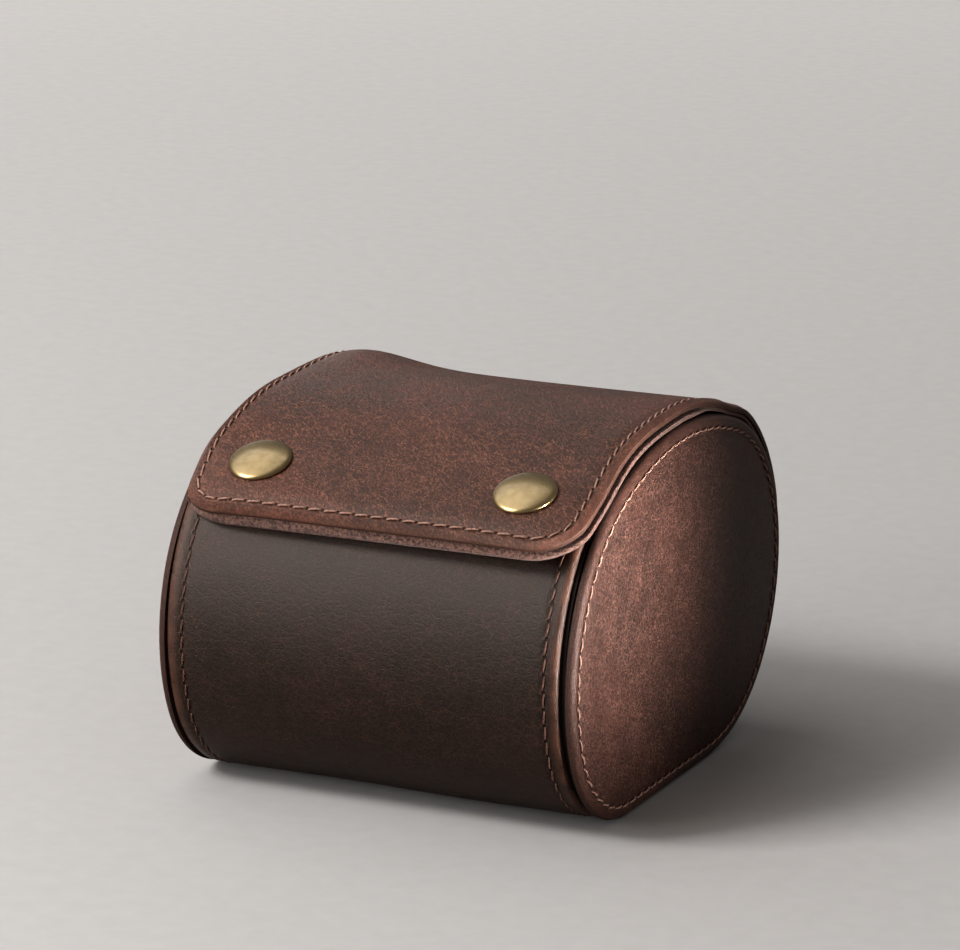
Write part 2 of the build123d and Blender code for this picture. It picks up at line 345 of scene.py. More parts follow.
def work(piece: Piece, kind: str, **settings: object) -> None:
    """Add one modifier to a piece, set it and apply it.

    Args:
        piece: the piece to change.
        kind: the modifier's type.
        settings: the modifier's own settings by name.
    """
    only(piece)
    bpy.ops.object.modifier_add(type=kind)
    modifier = piece.modifiers[-1]
    for name, value in settings.items():
        setattr(modifier, name, value)
    bpy.ops.object.modifier_apply(modifier=modifier.name)


def tidy_skin(piece: Piece, corner: float = 40.0) -> None:
    """Turn a closed piece's faces outwards and shade it smooth up to a corner angle.

    Args:
        piece: the finished closed piece.
        corner: edges sharper than this angle in degrees stay crisp.
    """
    with editing(piece, "FACE"):
        bpy.ops.mesh.normals_make_consistent(inside=False)
    only(piece)
    bpy.ops.object.shade_smooth_by_angle(angle=radians(corner))


def copy_of(piece: Piece, name: str) -> Piece:
    """Copy a piece with its own mesh under a new name.

    Args:
        piece: the piece to copy.
        name: the copy's name.

    Returns:
        The copy.
    """
    twin = piece.copy()
    twin.data = piece.data.copy()
    bpy.context.scene.collection.objects.link(twin)
    return name_piece(twin, name)


def join(pieces: list[Piece], name: str) -> Piece:
    """Join several pieces into one and name it.

    Args:
        pieces: the pieces, which are used up.
        name: the joined piece's name.

    Returns:
        The joined piece.
    """
    only(pieces[0])
    for piece in pieces:
        piece.select_set(True)
    bpy.ops.object.join()
    return name_piece(bpy.context.view_layer.objects.active, name)


def mirrored(piece: Piece, name: str) -> Piece:
    """Copy a piece to the other end of the case, turned right side out.

    Args:
        piece: a piece of the right end.
        name: the copy's name.

    Returns:
        The left end's piece.
    """
    twin = copy_of(piece, name)
    twin.data.transform(Matrix.Scale(-1.0, 4, ALONG))
    with editing(twin, "FACE"):
        bpy.ops.mesh.flip_normals()
    return twin


def both_ends(right: list[Piece]) -> dict[str, list[Piece]]:
    """Mirror the right end's pieces to the left end, and return both ends' pieces by side."""
    left = [mirrored(piece, piece.name.replace("right", "left")) for piece in right]
    return {"right": right, "left": left}


def turn_on_lathe(name: str, outline: list[tuple[float, float]], steps: int) -> Piece:
    """Turn a closed solid about the Z axis.

    Args:
        name: the piece's name.
        outline: (radius, height) points in mm, from the axis round and back to it.
        steps: how many facets go round.

    Returns:
        The turned piece, its axis on Z.
    """
    piece = start_piece(name, "plane", size=2 * MM)
    with editing(piece, "VERT", lambda place: place.x < 0 or place.y < 0):
        bpy.ops.mesh.delete(type="VERT")
    piece.data.vertices[0].co = Vector((outline[0][0], 0.0, outline[0][1])) * MM
    with editing(piece, "VERT"):
        for here, there in zip(outline, outline[1:]):
            step = Vector((there[0] - here[0], 0.0, there[1] - here[1])) * MM
            bpy.ops.mesh.extrude_region_move(TRANSFORM_OT_translate={"value": step})
    with editing(piece, "VERT"):
        bpy.ops.mesh.spin(steps=steps, angle=2 * pi, center=(0, 0, 0), axis=(0, 0, 1))
    with editing(piece, "VERT"):
        bpy.ops.mesh.remove_doubles(threshold=0.004 * MM)
    return piece


def round_corner(
    x: np.ndarray, y: np.ndarray, half_width: float, edge: float, inside: float, radius: float
) -> None:
    """Round the two corners at one end of a flat grid, keeping its lines parallel to the edge.

    Args:
        x: the grid's places across, in mm, changed in place.
        y: the grid's places along, in mm, changed in place.
        half_width: half the grid's width.
        edge: where the end lies along Y.
        inside: 1 if the sheet lies on the +Y side of that end, -1 if on the other.
        radius: the corners' radius.
    """
    side = half_width - np.abs(x)
    end = (y - edge) * inside
    near = (side < radius) & (end < radius)
    depth = np.minimum(side, end)
    reach = np.maximum(radius - depth, TINY)
    angle = radians(45.0) * (1.0 + (end - side) / reach)
    across = (half_width - radius + reach * np.sin(angle)) * np.sign(x)
    along = edge + inside * (radius - reach * np.cos(angle))
    x[near], y[near] = across[near], along[near]


@dataclass
class FlatCut:
    """A sheet cut flat: its outline, thickness, edge finish and the lines of its grid."""

    name: str
    half_width: float
    begin: float
    end: float
    top: float
    thickness: float
    front_corner: float = 0.0
    back_corner: float = 0.0
    edge_lines: tuple[float, ...] = (0.0, 1.2, 2.0, 2.8)
    step: float = 1.5
    edge_round: float = 0.6

    def _lines(self, low: float, high: float) -> np.ndarray:
        """Place the grid's lines: close together by the edges and even between them.

        Args:
            low: where the sheet begins, in mm.
            high: where it ends.

        Returns:
            The lines' places in mm.
        """
        rims = np.array(self.edge_lines)
        count = max(1, round((high - low - 2 * rims[-1]) / self.step))
        middle = np.linspace(low + rims[-1], high - rims[-1], count + 1)
        return np.concatenate([low + rims[:-1], middle, high - rims[-2::-1]])

    def cut(self) -> Piece:
        """Cut the sheet out, give it its thickness and round its edges.

        Returns:
            The flat piece.
        """
        across = self._lines(-self.half_width, self.half_width)
        along = self._lines(self.begin, self.end)
        cells = {"x_subdivisions": len(across) - 1, "y_subdivisions": len(along) - 1}
        piece = start_piece(self.name, "grid", size=1.0, **cells)
        unit = read_places(piece) * MM + 0.5
        x = across[np.rint(unit[:, 0] * (len(across) - 1)).astype(int)]
        y = along[np.rint(unit[:, 1] * (len(along) - 1)).astype(int)]
        if self.front_corner:
            round_corner(x, y, self.half_width, self.begin, 1.0, self.front_corner)
        if self.back_corner:
            round_corner(x, y, self.half_width, self.end, -1.0, self.back_corner)
        write_places(piece, np.column_stack([x, y, np.full(len(x), self.top)]))
        work(piece, "SOLIDIFY", thickness=self.thickness * MM, offset=-1.0)
        work(
            piece,
            "BEVEL",
            width=self.edge_round * MM,
            segments=3,
            limit_method="ANGLE",
            angle_limit=radians(60),
        )
        return piece


def keep_cut(piece: Piece) -> None:
    """Keep each point's present place in the attribute "cut", which the grain follows."""
    attribute = piece.data.attributes.new("cut", "FLOAT_VECTOR", "POINT")
    attribute.data.foreach_set("vector", (read_places(piece) * MM).ravel())


def mark_seam(piece: Piece, places: np.ndarray, seam: Track, pitch: float, closed: bool) -> None:
    """Keep where the sewing runs in the UV map "seam": stitches along it and mm across.

    Args:
        piece: the piece that is sewn.
        places: each point's place in the seam's plane, in mm.
        seam: the seam.
        pitch: its stitch pitch, in mm.
        closed: whether the seam runs all round, back to its start.
    """
    mesh = piece.data
    runs, left = seam.locate(places)
    corners = np.zeros(len(mesh.loops), int)
    mesh.loops.foreach_get("vertex_index", corners)
    starts = np.zeros(len(mesh.polygons), int)
    totals = np.zeros(len(mesh.polygons), int)
    mesh.polygons.foreach_get("loop_start", starts)
    mesh.polygons.foreach_get("loop_total", totals)
    across = runs[corners] / pitch
    if closed:
        # A face that spans the start keeps to one side of it
        lap = round(seam.length / pitch)
        first = np.repeat(across[starts], totals)
        across = across + lap * np.round((first - across) / lap)
    layer = mesh.uv_layers.new(name="seam")
    layer.data.foreach_set("uv", np.column_stack([across, left[corners]]).ravel())


# ---------------------------------------------------------------- finishes


def to_linear(hex_colour: str) -> tuple[float, float, float, float]:
    """Turn an sRGB hex colour such as "#4A2F26" into linear red, green, blue and alpha.

    Args:
        hex_colour: the colour, with its # sign.

    Returns:
        The linear colour.
    """
    parts = [int(hex_colour[i : i + 2], 16) / 255 for i in (1, 3, 5)]
    linear = [c / 12.92 if c <= 0.04045 else ((c + 0.055) / 1.055) ** 2.4 for c in parts]
    return (*linear, 1.0)


def add_node(
    tree: Tree,
    kind: str,
    inputs: dict[str | int, object] | None = None,
    output: str | int = 0,
    **settings: object,
) -> Socket | None:
    """Add one node, set it, and link or fill its inputs.

    Args:
        tree: the node tree to add to.
        kind: the node's type without its "ShaderNode" start.
        inputs: by name or number, another node's output, a value or a hex colour.
        output: which of the node's outputs to return.
        settings: the node's own properties.

    Returns:
        The chosen output, or None for a node without any.
    """
    node = tree.nodes.new("ShaderNode" + kind)
    for name, value in settings.items():
        setattr(node, name, value)
    for name, value in (inputs or {}).items():
        if isinstance(value, Socket):
            tree.links.new(value, node.inputs[name])
        else:
            fixed = to_linear(value) if isinstance(value, str) else value
            node.inputs[name].default_value = fixed
    return node.outputs[output] if node.outputs else None


def new_material(name: str) -> tuple[bpy.types.Material, Tree]:
    """Start an empty node material, and return it with its tree.

    Args:
        name: the material's name.

    Returns:
        The material and its tree.
    """
    material = bpy.data.materials.new(name)
    material.use_nodes = True
    material.node_tree.nodes.clear()
    return material, material.node_tree


def close_material(tree: Tree, height: Socket, shader: dict[str, object]) -> None:
    """Close a material with its bump, its surface shader and its output.

    Args:
        tree: the material's tree.
        height: the fine relief in mm.
        shader: the surface shader's inputs by name.
    """
    bump = add_node(tree, "Bump", {"Height": height, "Strength": 1.0, "Distance": MM})
    surface = add_node(tree, "BsdfPrincipled", {**shader, "Normal": bump})
    add_node(tree, "OutputMaterial", {"Surface": surface})


@dataclass(frozen=True)
class PullUpLeather:
    """Waxed pull-up cowhide: oils move when it bends, so creases and scuffs turn paler."""

    name: str
    deep: str
    main: str
    pale: str
    raw: str
    scuffs: float
    gloss: float
    edge_wear: float
    wax: float
    relief: float
    cell: float
    crease_turn: float = 0.35
    pull: float = 1.5
    pitch: float = 3.3
    hole_reach: float = 0.42
    # Painted shade: the needle holes are coloured this near-black
    hole_shade: str = "#0A0605"
    rim_reach: float = 0.85
    crease_gap: float = 1.5
    patch_size: float = 5.5
    cloud_size: float = 26.0

    def _seam(self, tree: Tree) -> tuple[Socket, ...]:
        """Find the needle holes, the leather raised round them and the pressed line.

        Args:
            tree: the material's tree.

        Returns:
            Outputs that are 1 in a hole, 1 on its raised rim, 1 in the line and 1 past it.
        """
        seam = add_node(tree, "UVMap", uv_map="seam")
        count = add_node(tree, "SeparateXYZ", {0: seam}, "X")
        across = add_node(tree, "SeparateXYZ", {0: seam}, "Y")
        ahead = add_node(tree, "Math", {0: count, 1: 0.5}, operation="ADD")
        part = add_node(tree, "Math", {0: ahead}, operation="FRACT")
        scale = {0: part, 1: self.pitch, 2: -self.pitch / 2}
        along = add_node(tree, "Math", scale, operation="MULTIPLY_ADD")
        place = add_node(tree, "CombineXYZ", {0: along, 1: across})
        away = add_node(tree, "VectorMath", {0: place}, "Value", operation="LENGTH")
        edge, rim_end = self.hole_reach, self.rim_reach
        hole = add_node(tree, "MapRange", {0: away, 1: 0.2, 2: edge, 3: 1.0, 4: 0.0})
        rim = add_node(tree, "MapRange", {0: away, 1: edge, 2: rim_end, 3: 1.0, 4: 0.0})
        off = add_node(tree, "Math", {0: across}, operation="ABSOLUTE")
        line = add_node(tree, "MapRange", {0: off, 1: 0.2, 2: 0.75, 3: 1.0, 4: 0.0}, **SMOOTH)
        past = add_node(tree, "MapRange", {0: across, 1: 0.6, 2: 2.4}, **SMOOTH)
        return hole, rim, line, past

    def _grain(self, tree: Tree, flat: Socket) -> tuple[Socket, Socket]:
        """Draw the grain: fine raised cells, pulled along the hide's growth, and its creases.

        Args:
            tree: the material's tree.
            flat: each point's place in the flat hide.

        Returns:
            Outputs from 0 in the pores to 1 on the cells' tops, and 1 on a crease's edge.
        """
        pull = {"Rotation": (0, 0, self.crease_turn), "Scale": (self.pull, 1.0, 1.0)}
        stretched = add_node(tree, "Mapping", {"Vector": flat, **pull}, vector_type="TEXTURE")
        wander = {"Vector": flat, "Scale": 1 / (1.4 * MM), "Detail": 2.0}
        wander = add_node(tree, "TexNoise", wander, "Color")
        offset = {0: wander, 1: (0.9 * MM,) * 3, 2: stretched}
        bent = add_node(tree, "VectorMath", offset, operation="MULTIPLY_ADD")
        # Cells and pores are drawn about twice as coarse as real grain, so that they show
        cell = {"Vector": bent, "Scale": 1 / (self.cell * MM)}
        cell = add_node(tree, "TexVoronoi", cell, "Distance")
        top = add_node(tree, "MapRange", {0: cell, 1: 0.62, 2: 0.12})
        speck = {"Vector": flat, "Scale": 1 / (0.75 * self.cell * MM)}
        speck = add_node(tree, "TexNoise", {**speck, "Detail": 4.0, "Roughness": 0.8})
        fine = add_node(tree, "MapRange", {0: speck, 1: 0.33, 2: 0.67})
        grain = add_node(tree, "Mix", {0: 0.62, 2: top, 3: fine}, data_type="FLOAT")
        # Growth creases lie along the stretch, a millimetre or two apart
        edge = {"Vector": bent, "Scale": 1 / (self.crease_gap * MM)}
        edge = add_node(tree, "TexVoronoi", edge, "Distance", feature="DISTANCE_TO_EDGE")
        crease = add_node(tree, "MapRange", {0: edge, 1: 0.15, 2: 0.0}, **SMOOTH)
        return grain, crease

    def make(self) -> bpy.types.Material:
        """Make the leather's material.

        Returns:
            The material.
        """
        material, tree = new_material(self.name)
        flat = add_node(tree, "Attribute", output="Vector", attribute_name="cut")
        # Dye and wax take unevenly, in clouds a few centimetres across
        cloud = {"Vector": flat, "Scale": 1 / (self.cloud_size * MM), "Detail": 5.0}
        cloud = add_node(tree, "TexNoise", {**cloud, "Distortion": 0.5})
        patch = {"Vector": flat, "Scale": 1 / (self.patch_size * MM), "Detail": 6.0}
        patch = add_node(tree, "TexNoise", {**patch, "Roughness": 0.68})
        grain, crease = self._grain(tree, flat)
        hole, rim, line, past = self._seam(tree)
        share = {0: cloud, 1: 0.34, 2: 0.66, 3: 0.25, 4: 1.0}
        share = add_node(tree, "MapRange", share, **SMOOTH)
        worn = {0: patch, 1: 0.34, 2: 0.68, 3: 0.35, 4: 1.0}
        worn = add_node(tree, "MapRange", worn, **SMOOTH)
        tops = {0: grain, 1: 0.4, 2: 0.74, 3: 0.08 * self.scuffs, 4: self.scuffs}
        tops = add_node(tree, "MapRange", tops, **SMOOTH)
        creased = {0: crease, 1: 0.6 * self.scuffs, 2: tops}
        tops = add_node(tree, "Math", creased, operation="MULTIPLY_ADD")
        scuff = add_node(tree, "Math", {0: worn, 1: tops}, operation="MULTIPLY", use_clamp=True)
        # Past the seam the edge is burnished, which evens the grain
        calm = add_node(tree, "MapRange", {0: past, 3: 1.0, 4: 0.6})
        scuff = add_node(tree, "Math", {0: scuff, 1: calm}, operation="MULTIPLY")
        # The pores stay dark
        pore = add_node(tree, "MapRange", {0: grain, 1: 0.5, 2: 0.26, 3: 0.0, 4: 0.75})
        # A cut edge shows raw fibre under the dyed face
        depth = add_node(tree, "SeparateXYZ", {0: flat}, "Z")
        raw = add_node(tree, "MapRange", {0: depth, 1: -0.4 * MM, 2: -0.85 * MM}, **SMOOTH)
        fibre = add_node(tree, "Mix", {0: grain, 6: self.deep, 7: self.raw}, 2, data_type="RGBA")
        wear = add_node(tree, "Math", {0: past, 1: self.edge_wear}, operation="MULTIPLY")
        wear = add_node(tree, "Math", {0: wear, 1: worn}, operation="MULTIPLY")
        dip = add_node(tree, "Math", {0: line, 1: 0.5}, operation="MULTIPLY")
        lifted = add_node(tree, "Math", {0: rim, 1: 0.3}, operation="MULTIPLY")
        # The needle holes get painted shade, near-black in each hole
        colour = self.deep
        coats = (
            (share, self.main), (scuff, self.pale), (pore, self.deep), (wear, self.pale),
            (dip, self.deep), (lifted, self.pale), (hole, self.hole_shade), (raw, fibre),
        )
        for amount, tint in coats:
            colour = add_node(tree, "Mix", {0: amount, 6: colour, 7: tint}, 2, data_type="RGBA")
        height = add_node(tree, "Math", {0: grain, 1: self.relief}, operation="MULTIPLY")
        layers = ((crease, -0.35 * self.relief), (rim, 0.08), (hole, -0.45))
        for layer, deep in layers:
            raised = {0: layer, 1: deep, 2: height}
            height = add_node(tree, "Math", raised, operation="MULTIPLY_ADD")
        rough = {0: patch, 1: 0.3, 2: 0.7, 3: self.gloss - 0.05, 4: self.gloss + 0.07}
        rough = add_node(tree, "MapRange", rough)
        for layer, change in ((past, -0.05), (raw, 0.3)):
            changed = {0: layer, 1: change, 2: rough}
            rough = add_node(tree, "Math", changed, operation="MULTIPLY_ADD")
        waxed = {"IOR": 1.5, "Specular IOR Level": self.wax, "Specular Tint": "#FAEBE0"}
        close_material(tree, height, {"Base Color": colour, "Roughness": rough, **waxed})
        return material


@dataclass(frozen=True)
class NappedSkin:
    """A napped skin or cloth, such as split suede or microfibre: short soft fibre, no shine."""

    name: str
    dark: str
    light: str
    nap: float
    depth: float
    sheen: float
    flat: bool = True
    stroke: float = 14.0

    def make(self) -> bpy.types.Material:
        """Make the napped material.

        Returns:
            The material.
        """
        material, tree = new_material(self.name)
        if self.flat:
            place = add_node(tree, "Attribute", output="Vector", attribute_name="cut")
        else:
            place = add_node(tree, "TexCoord", output="Object")
        # Fibre tufts, drawn a little coarser than real nap so that they show
        tuft = {"Vector": place, "Scale": 1 / (self.nap * MM), "Detail": 5.0}
        tuft = add_node(tree, "TexNoise", {**tuft, "Roughness": 0.75})
        stroke = {"Vector": place, "Scale": 1 / (self.stroke * MM), "Detail": 3.0}
        stroke = add_node(tree, "TexNoise", {**stroke, "Distortion": 0.6})
        fine = add_node(tree, "MapRange", {0: tuft, 1: 0.41, 2: 0.62, 3: 0.0, 4: 0.85})
        share = {0: stroke, 1: 0.2, 2: fine}
        share = add_node(tree, "Math", share, operation="MULTIPLY_ADD")
        colour = {0: share, 6: self.dark, 7: self.light}
        colour = add_node(tree, "Mix", colour, 2, data_type="RGBA")
        height = add_node(tree, "Math", {0: tuft, 1: self.depth}, operation="MULTIPLY")
        rough = add_node(tree, "MapRange", {0: tuft, 1: 0.2, 2: 0.8, 3: 0.86, 4: 0.98})
        soft = {"Sheen Weight": self.sheen, "Sheen Roughness": 0.5, "Specular IOR Level": 0.25}
        close_material(tree, height, {"Base Color": colour, "Roughness": rough, **soft})
        return material


@dataclass(frozen=True)
class PlatedMetal:
    """Stamped metal with a brushed, tarnished or plain plated face."""

    name: str
    bright: str
    dull: str
    gloss: float
    tarnish: float
    lacquer: float
    stains: float = 2.2
    pits: float = 0.25
    pit_depth: float = 0.006

    def make(self) -> bpy.types.Material:
        """Make the metal's material.

        Returns:
            The material.
        """
        material, tree = new_material(self.name)
        place = add_node(tree, "TexCoord", output="Object")
        stain = {"Vector": place, "Scale": 1 / (self.stains * MM), "Detail": 5.0}
        stain = add_node(tree, "TexNoise", stain)
        # Barrel tumbling leaves fine pits near 0.1 mm, drawn larger so that they show
        pits = {"Vector": place, "Scale": 1 / (self.pits * MM), "Detail": 2.0}
        pits = add_node(tree, "TexNoise", pits)
        share = {0: stain, 1: 0.38, 2: 0.7, 3: 0.0, 4: self.tarnish}
        share = add_node(tree, "MapRange", share)
        colour = {0: share, 6: self.bright, 7: self.dull}
        colour = add_node(tree, "Mix", colour, 2, data_type="RGBA")
        rough = {0: stain, 1: 0.3, 2: 0.7, 3: self.gloss, 4: self.gloss + 0.08}
        rough = add_node(tree, "MapRange", rough)
        height = add_node(tree, "Math", {0: pits, 1: self.pit_depth}, operation="MULTIPLY")
        coat = {"Metallic": 1.0, "Coat Weight": self.lacquer, "Coat Roughness": 0.15}
        close_material(tree, height, {"Base Color": colour, "Roughness": rough, **coat})
        return material


@dataclass(frozen=True)
class DullBody:
    """A dull solid such as pressed board, foam or spun thread, mottled and finely rough."""

    name: str
    dark: str
    light: str
    speck: float
    depth: float
    rough: float

    def make(self) -> bpy.types.Material:
        """Make the dull material.

        Returns:
            The material.
        """
        material, tree = new_material(self.name)
        place = add_node(tree, "TexCoord", output="Object")
        mottle = {"Vector": place, "Scale": 1 / (self.speck * MM), "Detail": 6.0}
        mottle = add_node(tree, "TexNoise", {**mottle, "Roughness": 0.7})
        share = add_node(tree, "MapRange", {0: mottle, 1: 0.3, 2: 0.7})
        colour = {0: share, 6: self.dark, 7: self.light}
        colour = add_node(tree, "Mix", colour, 2, data_type="RGBA")
        height = add_node(tree, "Math", {0: mottle, 1: self.depth}, operation="MULTIPLY")
        rough = {0: mottle, 1: 0.3, 2: 0.7, 3: self.rough - 0.05, 4: self.rough + 0.05}
        rough = add_node(tree, "MapRange", rough)
        dull = {"Roughness": rough, "Specular IOR Level": 0.2}
        close_material(tree, height, {"Base Color": colour, **dull})
        return material


class Finish(Enum):
    """The finishes of the case's pieces, each made once."""

    # Waxed cowhide, drum dyed: deep red-brown that lightens to rust where it is bent
    FLAP_HIDE = PullUpLeather(
        "waxed_cowhide_red_brown",
        deep="#27160F",
        main="#583125",
        pale="#9E6650",
        raw="#5E3A2D",
        scuffs=0.44,
        gloss=0.4,
        edge_wear=0.12,
        wax=0.38,
        relief=0.08,
        cell=0.44,
        crease_turn=-0.7,
        pull=1.8,
    )
    # The same hide from a smoother part of the skin; its darker colour is partly painted shade for the
    # wrap's front, which faces away from the lamps
    BODY_HIDE = PullUpLeather(
        "waxed_cowhide_dark",
        deep="#120B08",
        main="#23140E",
        pale="#5C392B",
        raw="#4A2F25",
        scuffs=0.34,
        gloss=0.35,
        edge_wear=0.8,
        wax=0.35,
        relief=0.055,
        cell=0.34,
    )
    END_HIDE = PullUpLeather(
        "waxed_cowhide_brown",
        deep="#1C100C",
        main="#3F241D",
        pale="#7E5446",
        raw="#4E3229",
        scuffs=0.45,
        gloss=0.38,
        edge_wear=0.2,
        wax=0.26,
        relief=0.05,
        cell=0.4,
        crease_turn=1.4,
        pull=1.15,
    )
    # Split suede: pinkish brown nap, frayed where it is cut
    SUEDE = NappedSkin("split_suede_pink_brown", "#1A0F0C", "#9A6F60", 0.6, 0.5, 0.1)
    # Woven microfibre with a brushed face, which lines the inside
    MICROFIBRE = NappedSkin("brushed_microfibre_tan", "#6A5444", "#8A705C", 0.7, 0.12, 0.5)
    CUSHION = NappedSkin("brushed_microfibre_cover", "#6E5848", "#907661", 0.8, 0.12, 0.5, False)
    # Grey board, pressed from pulp, its cut edges stained brown by the maker; its colour is darkened
    # nearly to black as painted shade in the gap between the wrap and the ends
    BOARD = DullBody("pressed_board_stained_and_shaded", "#120B09", "#211612", 0.9, 0.08, 0.9)
    # Spun polyester thread, lightly waxed, its colour mottled light and dark as painted highlights and
    # shade on its strands
    THREAD = DullBody("spun_polyester_thread", "#5A362A", "#C69A86", 0.4, 0.1, 0.55)
    # The same thread, darker, sewn into the wrap and the cushion
    DARKER_THREAD = DullBody("darker_polyester_thread", "#2E1B15", "#7E5444", 0.4, 0.1, 0.6)
    FOAM = DullBody("cut_polyurethane_foam", "#B9AFA0", "#D8CFC0", 0.6, 0.25, 0.9)
    # Stamped brass, antiqued and tumbled: olive gold with a soft sheen
    BRASS = PlatedMetal("antiqued_stamped_brass", "#A78F63", "#806A40", 0.27, 0.6, 0.5)
    STEEL = PlatedMetal("drawn_spring_steel", "#B8B4AC", "#7D776D", 0.22, 0.3, 0.0)


class Finishes:
    """Makes each finish once and puts it on pieces."""

    def __init__(self) -> None:
        """Make all the materials."""
        self.made = {finish: finish.value.make() for finish in Finish}

    def put(self, piece: Piece, finish: Finish, slot: str | None = None) -> None:
        """Give a piece one finish all over.

        Args:
            piece: the piece, or a carried-over CAD node.
            finish: which finish it takes.
            slot: the record's slot, or None where it has none of its own; not used.
        """
        if piece.material_slots:
            for place in piece.material_slots:
                place.material = self.made[finish]
        else:
            piece.data.materials.append(self.made[finish])


# ---------------------------------------------------------------- the case's own sizes


@dataclass(frozen=True)
class CaseShape:
    """The case's driving sizes, the same as in its solids."""

    length: float = 88.2
    sole_front: float = -25.35
    panel_toe: tuple[float, float] = (26.1, 67.8)
    panel_front: tuple[float, float] = (37.8, 157.3)
    panel_crown: tuple[float, float] = (77.1, 200.8)
    panel_back: tuple[float, float] = (34.1, 346.1)
    wrap_toe: tuple[float, float] = (27.0, 67.8)
    wrap_front: tuple[float, float] = (39.0, 133.1)
    wrap_shoulder: tuple[float, float] = (8.0, 157.0)
    lip: float = 10.2
    wrap_half_length: float = 41.8
    wrap_leather: float = 1.8
    wrap_board: float = 1.4
    wrap_lining: float = 0.9
    snap_spacing: float = 56.0
    snap_behind: float = 2.7
    snap_turn: float = 157.0
    flap_leather: float = 2.0
    flap_lining: float = 1.6
    flap_gap: float = 0.9
    flap_corner: float = 11.0
    flap_ahead: float = 7.0
    flap_behind: float = 12.5
    brow: tuple[float, float] = (14.0, 119.0)
    crown_radius: float = 74.0
    fold_round: float = 20.0
    anchor_turns: tuple[float, float] = (206.0, 262.0)

    @staticmethod
    def facing(turn: float) -> Vector:
        """The outward direction at a turn: 0 faces down, 90 the front, 180 up."""
        return Vector((-sin(radians(turn)), -cos(radians(turn))))

    @staticmethod
    def onward(turn: float) -> Vector:
        """The direction in which the profile runs on at a turn."""
        return Vector((-cos(radians(turn)), sin(radians(turn))))

    @property
    def wrap_total(self) -> float:
        """The wrap's whole thickness: leather, board and lining."""
        return self.wrap_leather + self.wrap_board + self.wrap_lining

    @property
    def flap_total(self) -> float:
        """The flap's whole thickness: leather and lining."""
        return self.flap_leather + self.flap_lining

    def panel_outline(self, inset: float = 0.0) -> Track:
        """The end panels' outline, clockwise from the front of the sole, drawn in by an inset.

        Args:
            inset: how far it is drawn in, in mm.

        Returns:
            The outline, in Y and Z.
        """
        track = Track((self.sole_front, inset), 180.0)
        turned = 0.0
        for radius, end in (self.panel_toe, self.panel_front, self.panel_crown, self.panel_back):
            track.arc(radius - inset, turned - end)
            turned = end
        heel = (track.tip.y - inset) / (1 - cos(radians(turned)))
        track.arc(heel, turned - 360.0)
        return track.line(track.tip.x - self.sole_front)

    def _front_bends(self) -> tuple[tuple[float, float], ...]:
        """The wrap's bends from its sole up to the lip."""
        return self.wrap_toe, self.wrap_front, self.wrap_shoulder

    def shoulder_top(self) -> Vector:
        """Where the wrap's shoulder ends and its flat lip begins.

        Returns:
            The place in Y and Z, in mm.
        """
        track = Track((self.sole_front, 0.0), 180.0)
        turned = 0.0
        for radius, end in self._front_bends():
            track.arc(radius, turned - end)
            turned = end
        return track.tip

    def wrap_profile(self) -> Profile:
        """The wrap's outer face, from the lip down the front, under and up the back.

        Returns:
            The profile.
        """
        tip = self.shoulder_top() + self.onward(self.snap_turn) * self.lip
        track = Track(tuple(tip), -self.snap_turn).line(self.lip)
        ends = [end for _, end in self._front_bends()]
        for (radius, end), start in zip(reversed(self._front_bends()), [ends[1], ends[0], 0.0]):
            track.arc(radius, end - start)
        back_radius, back_end = self.panel_back
        *_, heel, sole = self.panel_outline().stretches
        track.line(sole.length)
        track.arc(1 / abs(heel.curve), 360.0 - back_end)
        track.arc(back_radius, back_end - self.panel_crown[1])
        return Profile(track, -1.0)

    def snap_base(self) -> Vector:
        """Where a snap's axis meets the wrap."""
        return self.shoulder_top() + self.onward(self.snap_turn) * self.snap_behind

    def flap_profile(self) -> tuple[Profile, float, float]:
        """The flap's outer face, from its tip over the crown and fold to its sewn-down end.

        Returns:
            The profile, and how far along it the fold's front and back hinges lie.
        """
        up, along = self.facing(self.snap_turn), self.onward(self.snap_turn)
        seat = self.snap_base() + up * (self.flap_total + self.flap_gap)
        begin = seat - along * self.flap_ahead
        radius, tip_turn = self.brow
        tip = begin + (self.facing(tip_turn) - up) * radius
        crown_centre = seat + along * self.flap_behind - up * self.crown_radius
        anchor_radius = self.panel_back[0] + self.flap_total
        start_turn, end_turn = self.anchor_turns
        *_, back, _, _ = self.panel_outline().stretches
        back_centre = Vector(back.start) - self.facing(self.panel_crown[1]) * self.panel_back[0]
        hinge = back_centre + self.facing(start_turn) * anchor_radius
        # A small bend that touches both the crown and the straight run to the back hinge
        reach = self.crown_radius - self.fold_round
        level = self.facing(start_turn).dot(hinge - crown_centre) - self.fold_round
        eased_turn = start_turn - degrees(acos(level / reach))
        bend_end = (
            crown_centre + self.facing(eased_turn) * reach + self.facing(start_turn) * self.fold_round
        )
        track = Track(tuple(tip), 180.0 - tip_turn)
        track.arc(radius, tip_turn - self.snap_turn)
        track.line(self.flap_ahead + self.flap_behind)
        track.arc(self.crown_radius, self.snap_turn - eased_turn)
        track.arc(self.fold_round, eased_turn - start_turn)
        track.line((hinge - bend_end).length)
        back_hinge = track.length
        track.arc(anchor_radius, start_turn - end_turn)
        front_hinge = back_hinge - self._fold_length(hinge)
        return Profile(track, 1.0), front_hinge, back_hinge

    def _fold_length(self, hinge: Vector) -> float:
        """The distance between the fold's two hinges.

        Args:
            hinge: the back hinge's place in mm.

        Returns:
            The distance in mm.
        """
        joints = {joint["name"]: joint for joint in frame["joints"]}
        front = joints["flap_hinge"]["pos_m"]
        return hypot(front[1] / MM - hinge.x, front[2] / MM - hinge.y)


# ---------------------------------------------------------------- sewing


